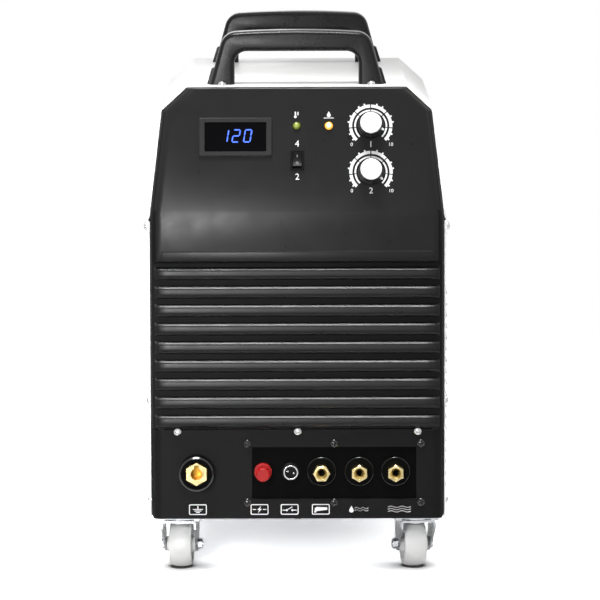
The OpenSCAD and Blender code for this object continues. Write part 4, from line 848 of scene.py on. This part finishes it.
def make_lamp_labels():
    """A thermometer and a drop over a line, over the two lamps."""
    bm = bmesh.new()
    heat = on_slope(0, LAMP_LABEL_Z)
    add_print(bm, arc((-1.5, -2.1), 1.5, 0, 345, 14), heat)
    add_stroke(bm, [(-1.5, -1.6), (-1.5, 2.9)], 1.1, heat)
    for y in (0.2, 1.5, 2.8):
        add_stroke(bm, [(0.4, y), (1.9, y)], 0.6, heat)
    water = on_slope(WATER_LAMP_X, LAMP_LABEL_Z)
    add_drop(bm, 0, 0.6, 6.5, water)
    add_stroke(bm, [(-5, -3.6), (5, -3.6)], 0.7, water)
    piece("lamp_labels", bm, PRINT)


def make_icons():
    """Framed signs under the sockets and post, and a drop and waves under the water and air."""
    bm = bmesh.new()
    for x in ICON_XS.values():
        add_frame(bm, rounded_box(19.4 * MM, 11.6 * MM, 1.6 * MM),
                  rounded_box(17.4 * MM, 9.6 * MM, 0.8 * MM), PRINT_LOW, PRINT_HIGH,
                  on_front(x, ICON_Z))
    earth, pilot, switch, torch = (on_front(ICON_XS[name], ICON_Z)
                                   for name in ("earth", "pilot", "switch", "torch"))
    add_stroke(bm, [(0, 3.4), (0, 0.4)], 1.1, earth)
    for y, half in ((0.2, 5), (-1.5, 3.3), (-3.2, 1.6)):
        add_stroke(bm, [(-half, y), (half, y)], ICON_LINE, earth)
    flash = [(0.4, 0.7), (2.6, 0.7), (-1.6, -3.8), (-0.4, -0.5), (-2.6, -0.5), (1.6, 3.8)]
    add_print(bm, flash, pilot)
    for side in (-1, 1):
        add_stroke(bm, [(side * 4.2, 0), (side * 7, 0)], ICON_LINE, pilot)
    for x in (-3, 3):
        add_print(bm, arc((x, -0.8), 1.2, 0, 345, 14), switch)
        add_stroke(bm, [(x * 1.5, -0.8), (x * 2.4, -0.8)], ICON_LINE, switch)
    add_stroke(bm, [(-2.6, -0.4), (2.6, 2.6)], ICON_LINE, switch)
    barrel = [(-6.6, 1.4), (-6.6, -1), (-4.4, -2), (7, -0.6), (7, 2.2), (-4.4, 2.6)]
    add_print(bm, barrel, torch)
    add_print(bm, [(-6.6, -1.2), (-7.4, -3.4), (-5.2, -3.4), (-4.6, -2.2)], torch)
    water = on_front(WATER_ICON_X, ICON_Z)
    add_drop(bm, -7.5, 0, 7.5, water)
    add_waves(bm, 3.5, 14, 2, water)
    add_waves(bm, 0, 24, 3, on_front(AIR_ICON_X, ICON_Z))
    piece("connector_icons", bm, PRINT)


make_lamp_labels()
make_icons()


# ---- Handles: drawn in millimetres, y up from the cover ----
COVER_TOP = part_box("front_handle")[0][2]
HANDLE_H = 56.5
HANDLE_TOP_X, HANDLE_FOOT_X = 79.5, 95
HANDLE_CROWN, CROWN_SPAN, CROWN_STEPS = 2.8, 0.7, 12
HANDLE_DEPTH = 30
HANDLE_BEVEL, BEVEL_STEPS = 5, 8
HANDLE_CORNER_R = 18
FOOT_Y = -10  # the outline's foot, drawn back up to the cover afterwards
GRIP_X, GRIP_H, GRIP_CORNER_R = 67.9, 36.3, 13.5
HANDLE_SLOPE = (HANDLE_FOOT_X - HANDLE_TOP_X) / HANDLE_H
COLLAR_H, COLLAR_OUT = 19, 3.2
COLLAR_BACK, COLLAR_FRONT = -0.7 * HANDLE_DEPTH, -0.3 * HANDLE_DEPTH
LOOP_STEPS = 10


def rounded_loop(corners):
    """A closed loop of (x, y, radius) corners, each drawn as an arc."""
    points = []
    for i, (x, y, r) in enumerate(corners):
        b = Vector((x, y))
        if r == 0:
            points.append((x, y))
            continue
        u = (Vector(corners[i - 1][:2]) - b).normalized()
        v = (Vector(corners[(i + 1) % len(corners)][:2]) - b).normalized()
        half = u.angle(v) / 2
        centre = b + (u + v).normalized() * r / math.sin(half)
        start, end = (b + w * r / math.tan(half) - centre for w in (u, v))
        a0 = math.degrees(math.atan2(start.y, start.x))
        turn = math.degrees(math.atan2(end.y, end.x)) - a0
        turn -= 360 * round(turn / 360)
        points += arc(centre, r, a0, a0 + turn, LOOP_STEPS)
    return points


def shrunk(loop, distance):
    """A closed anticlockwise loop moved inwards."""
    moved = []
    for i, p in enumerate(loop):
        p, before, after = Vector(p), Vector(loop[i - 1]), Vector(loop[(i + 1) % len(loop)])
        d0, d1 = (p - before).normalized(), (after - p).normalized()
        m = Vector((-d0.y - d1.y, d0.x + d1.x))
        moved.append(p + m * 2 * distance / m.length_squared)
    return moved


def handle_loop():
    """The outline of a handle, seen from the front."""
    crown_r = (HANDLE_TOP_X ** 2 + HANDLE_CROWN ** 2) / (2 * HANDLE_CROWN)
    half = math.degrees(math.asin(HANDLE_TOP_X / crown_r)) * CROWN_SPAN
    crown_centre = 0, HANDLE_H + HANDLE_CROWN - crown_r
    crown = arc(crown_centre, crown_r, 90 - half, 90 + half, CROWN_STEPS)
    foot = HANDLE_FOOT_X - HANDLE_SLOPE * FOOT_Y
    return rounded_loop(
        [(foot, FOOT_Y, 0), (HANDLE_TOP_X, HANDLE_H, HANDLE_CORNER_R)]
        + [(x, y, 0) for x, y in crown]
        + [(-HANDLE_TOP_X, HANDLE_H, HANDLE_CORNER_R), (-foot, FOOT_Y, 0),
           (-GRIP_X, FOOT_Y, 0), (-GRIP_X, GRIP_H, GRIP_CORNER_R),
           (GRIP_X, GRIP_H, GRIP_CORNER_R), (GRIP_X, FOOT_Y, 0)])


def trimmed(x, y):
    """Draws a foot's corner back along its leg to the cover."""
    if y >= 0:
        return x, y
    outer = abs(x) > HANDLE_FOOT_X - HANDLE_BEVEL
    return x - math.copysign(HANDLE_SLOPE * -y, x) if outer else x, 0


def make_handle(node):
    """A moulded handle with round edges front and back, and a collar on each foot."""
    loop = handle_loop()
    place = (Matrix.Translation((0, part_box(node)[0][1], COVER_TOP))
             @ Matrix.Rotation(math.pi / 2, 4, "X") @ Matrix.Scale(MM, 4))
    steps = [(HANDLE_BEVEL * (1 - math.sin(a)), HANDLE_BEVEL * (1 - math.cos(a)))
             for a in quarter_turn(BEVEL_STEPS)]
    rings = [(inset, -depth) for inset, depth in steps]
    rings += [(inset, depth - HANDLE_DEPTH) for inset, depth in steps[::-1]]
    bm = bmesh.new()
    add_loft(bm, [[place @ Vector((*trimmed(*p), z)) for p in shrunk(loop, inset)]
                  for inset, z in rings])
    handle = piece(node + "_bar", bm, HANDLE_GRIP, slot="handle_grip")
    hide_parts(node)
    out = HANDLE_FOOT_X + COLLAR_OUT
    outline = [(HANDLE_FOOT_X - 6, 0), (out, 0),
               (out - HANDLE_SLOPE * COLLAR_H, COLLAR_H - 2),
               (HANDLE_FOOT_X - HANDLE_SLOPE * COLLAR_H - 1, COLLAR_H),
               (HANDLE_FOOT_X - 12, COLLAR_H)]
    collars = bmesh.new()
    for side in (-1, 1):
        mirrored = [(side * x, y) for x, y in outline][::side]
        add_prism(collars, mirrored, COLLAR_BACK, COLLAR_FRONT, place)
    round_edges(piece(node + "_collars", collars, HANDLE_GRIP, slot="handle_grip"), 0.8 * MM, 3)


make_handle("front_handle")
make_handle("rear_handle")


# ---- Screws ----
SCREW_KINDS = {"panel_screws": BRIGHT_SCREW, "connector_plate_screws": BLACK_SCREW}
HEAD_RIM = 0.3  # the upright part of a head, as a share of its height
TIP_R, TIP_H = 0.8, 0.0005
CROSS_HALF, CROSS_REACH = 0.13, 0.55  # of the head's radius
CROSS_CUTS = (0.45, 0.25), (1, 0.85), (1, 1.2)  # shares of the cross's reach and the head's height
HEAD_BAND = 0.98
SAME_HEIGHT = 1e-5
TURN_STEP, TURN_LIMIT = 37, 90  # radians; spread the screws' turns about their axes


def screw_template(head_r, head_h, shank_r, shank_l):
    """A domed screw along Z with a cross recess, its head standing on the plane z = 0."""
    bm = bmesh.new()
    rim = head_h * HEAD_RIM
    dome = [(head_r * math.cos(a), rim + (head_h - rim) * math.sin(a))
            for a in quarter_turn(8)[:-1]]
    shank = [(0, -shank_l), (shank_r * TIP_R, -shank_l), (shank_r, -shank_l + TIP_H), (shank_r, 0)]
    add_lathe(bm, shank + [(head_r, 0)] + dome + [(0, head_h)], segments=32)
    bmesh.ops.remove_doubles(bm, verts=bm.verts, dist=TIGHT_WELD)
    cut = bmesh.new()
    half, reach = head_r * CROSS_HALF, head_r * CROSS_REACH
    corners = (-reach, -half), (reach, -half), (reach, half), (-reach, half)
    for turn in (0, math.pi / 2):
        add_loft(cut, [[Matrix.Rotation(turn, 4, "Z") @ Vector((x * k, y, head_h * z))
                        for x, y in corners] for k, z in CROSS_CUTS])
    bmesh.ops.recalc_face_normals(cut, faces=cut.faces)
    return carved(mesh_from(bm, "screw"), mesh_from(cut, "cross"))


def islands(bm):
    """The corner positions of each separate solid, in an order that differs between runs."""
    left = set(bm.verts)
    while left:
        found, edge = set(), {left.pop()}
        while edge:
            found |= edge
            edge = {e.other_vert(v) for v in edge for e in v.link_edges} - found
        left -= found
        yield [v.co.copy() for v in found]


def measured(corners):
    """A CAD screw's template measures, its seat's centre and its direction."""
    low = Vector([min(c[k] for c in corners) for k in range(3)])
    high = Vector([max(c[k] for c in corners) for k in range(3)])
    size, middle = high - low, (low + high) / 2
    along = max(range(3), key=lambda k: min(abs(size[k] - size[m]) for m in range(3) if m != k))
    u, v = (k for k in range(3) if k != along)
    reach = {tuple(c): math.hypot(c[u] - middle[u], c[v] - middle[v]) for c in corners}
    head_r = max(reach.values())
    seats = [c[along] for c, r in reach.items() if r > head_r * HEAD_BAND]
    up = 1 if sum(seats) / len(seats) > middle[along] else -1
    seat, top, tail = ((min(seats), high[along], low[along]) if up > 0
                       else (max(seats), low[along], high[along]))
    shank_r = max(r for c, r in reach.items() if abs(c[along] - tail) < SAME_HEIGHT)
    sizes = tuple(round(m, 5) for m in (head_r, abs(top - seat), shank_r, abs(seat - tail)))
    middle[along] = seat
    return sizes, middle, Vector([up if k == along else 0 for k in range(3)])


def make_screws(node, material):
    """Domed cross-head screws in the places and directions of the CAD ones."""
    bm = cleaned(nodes[node].data)
    screws = [measured(corners) for corners in islands(bm)]
    bm.free()
    templates = {}
    out = bmesh.new()
    for sizes, spot, axis in screws:
        if sizes not in templates:
            templates[sizes] = screw_template(*sizes)
        turn = Matrix.Rotation(TURN_STEP * len(out.verts) % TURN_LIMIT, 4, "Z")
        copy = templates[sizes].copy()
        copy.transform(Matrix.Translation(spot)
                       @ axis.to_track_quat("Z", "Y").to_matrix().to_4x4() @ turn)
        out.from_mesh(copy)
        bpy.data.meshes.remove(copy)
    domed = piece(node + "_domed", out, material, slot=slot_of[node], smooth=35)
    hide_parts(node)


for node, finish in SCREW_KINDS.items():
    make_screws(node, finish)


# ---- Studio ----
CAMERA_X, CAMERA_Z = 0.003, 0.915
CAMERA_DISTANCE, CAMERA_AIM_Z = 5.30, 0.302
CAMERA_ROLL = math.radians(-0.17)
FOCAL_PIXELS, FRAME_PIXELS, SENSOR_MM = 4917, 600, 36
CLIP_END = 100
AMBIENT = 0.4
FLOOR_R, FADE_START, FADE_END = 2.2, 0.7, 0.85  # the fade ends at a share of the radius
# Painted shadow: ambient occlusion darkens the floor's colour near the object
CONTACT_REACH, CONTACT_SAMPLES, CONTACT_START = 0.056, 16, 0.4
FLOOR_PAINTED_SHADOW, FLOOR_GAIN = 0.1, 4.2  # the floor's brightness in its painted shadow close to the object, and clear of it
LIGHTS = {  # place, aim, size, power in watts and spread in degrees
    "key": ((-0.2, -0.62, 1.9), (-0.12, -0.25, 0.2), (1.1, 0.4), 3.2, 30),
    "front": ((-0.38, -2.1, 0.52), (-0.17, -0.25, 0.26), (0.3, 0.35), 0.85, 34),
    "low": ((-0.3, -1.6, 0.15), (-0.14, -0.25, 0.22), (0.3, 0.2), 0.12, 40),
    "top": ((0, 0.15, 2.4), (0, 0.05, 0.3), (1.6, 1.0), 6.5, 180),
    "rim": ((1.7, 0.5, 1.1), (0.1, 0, 0.3), (0.8, 0.8), 3, 180),
    "back": ((-0.5, 2.5, 0.9), (0, 0.25, 0.3), (1.0, 0.8), 3.5, 180),
}


def make_camera():
    """The photograph's camera: place, tilt, roll and focal length."""
    data = bpy.data.cameras.new("camera")
    data.sensor_width = SENSOR_MM
    data.sensor_fit = "HORIZONTAL"
    data.lens = SENSOR_MM * FOCAL_PIXELS / FRAME_PIXELS
    data.clip_end = CLIP_END
    camera = in_scene("camera", data)
    pitch = math.atan2(CAMERA_Z - CAMERA_AIM_Z, CAMERA_DISTANCE)
    camera.matrix_world = (Matrix.Translation((CAMERA_X, FRONT_Y - CAMERA_DISTANCE, CAMERA_Z))
                           @ Matrix.Rotation(math.pi / 2 - pitch, 4, "X")
                           @ Matrix.Rotation(CAMERA_ROLL, 4, "Z"))
    bpy.context.scene.camera = camera


def area_light(name, place, target, size, energy, spread):
    data = bpy.data.lights.new(name, "AREA")
    data.shape = "RECTANGLE"
    data.size, data.size_y = size
    data.energy = energy
    data.spread = math.radians(spread)
    light = in_scene(name, data)
    light.location = place
    light.rotation_euler = (Vector(target) - Vector(place)).to_track_quat("-Z", "Y").to_euler()


def make_world():
    """White to the camera and in mirror images, and a dimmer light on dull surfaces."""
    world = bpy.data.worlds.new("studio")
    bpy.context.scene.world = world
    world.use_nodes = True
    nodes_, links = world.node_tree.nodes, world.node_tree.links
    background = nodes_["Background"]
    background.inputs["Color"].default_value = (1, 1, 1, 1)
    path = nodes_.new("ShaderNodeLightPath")
    seen = path.outputs["Is Camera Ray"]
    for ray in ("Is Glossy Ray", "Is Transmission Ray"):
        most = nodes_.new("ShaderNodeMath")
        most.operation = "MAXIMUM"
        links.new(seen, most.inputs[0])
        links.new(path.outputs[ray], most.inputs[1])
        seen = most.outputs[0]
    strength = nodes_.new("ShaderNodeMapRange")
    strength.inputs["To Min"].default_value = AMBIENT
    strength.inputs["To Max"].default_value = 1
    links.new(seen, strength.inputs["Value"])
    links.new(strength.outputs["Result"], background.inputs["Strength"])


def make_floor():
    """A white floor that keeps the lamps' shadow near the object, adds a painted shadow there from
    ambient occlusion, and runs out into the background.
    """
    bm = bmesh.new()
    bmesh.ops.create_circle(bm, cap_ends=True, segments=96, radius=FLOOR_R)
    floor = in_scene("floor", mesh_from(bm, "floor"))
    s = Shader("floor", (0.86, 0.86, 0.86), 0.35)
    s.mottle(s.noise(3), 0.995, 1.005)
    distance = s.nodes.new("ShaderNodeVectorMath")
    distance.operation = "LENGTH"
    s.link(s.place, distance, 0)
    fade = s.spread(distance.outputs["Value"], 0, 1, FADE_START, FLOOR_R * FADE_END)
    path = s.nodes.new("ShaderNodeLightPath")
    white = s.nodes.new("ShaderNodeEmission")
    bright = s.nodes.new("ShaderNodeBsdfDiffuse")
    seen = s.nodes.new("ShaderNodeMixShader")
    s.link(path.outputs["Is Camera Ray"], seen, 0)
    # Painted shadow: the floor's colour darkens where ambient occlusion finds the object close by
    contact = s.nodes.new("ShaderNodeAmbientOcclusion")
    contact.samples = CONTACT_SAMPLES
    contact.inputs["Distance"].default_value = CONTACT_REACH
    lit = s.spread(contact.outputs["AO"], FLOOR_PAINTED_SHADOW, FLOOR_GAIN, CONTACT_START, 1)
    s.link(lit, bright, "Color")
    s.link(s.bsdf.outputs[0], seen, 1)
    s.link(bright.outputs[0], seen, 2)
    out = s.nodes.new("ShaderNodeMixShader")
    s.link(fade, out, 0)
    s.link(seen.outputs[0], out, 1)
    s.link(white.outputs[0], out, 2)
    s.link(out.outputs[0], s.nodes["Material Output"], "Surface")
    paint(floor, s.material)


make_camera()
make_world()
make_floor()
for light, setting in LIGHTS.items():
    area_light(light, *setting)
bpy.context.scene.view_settings.view_transform = "Standard"
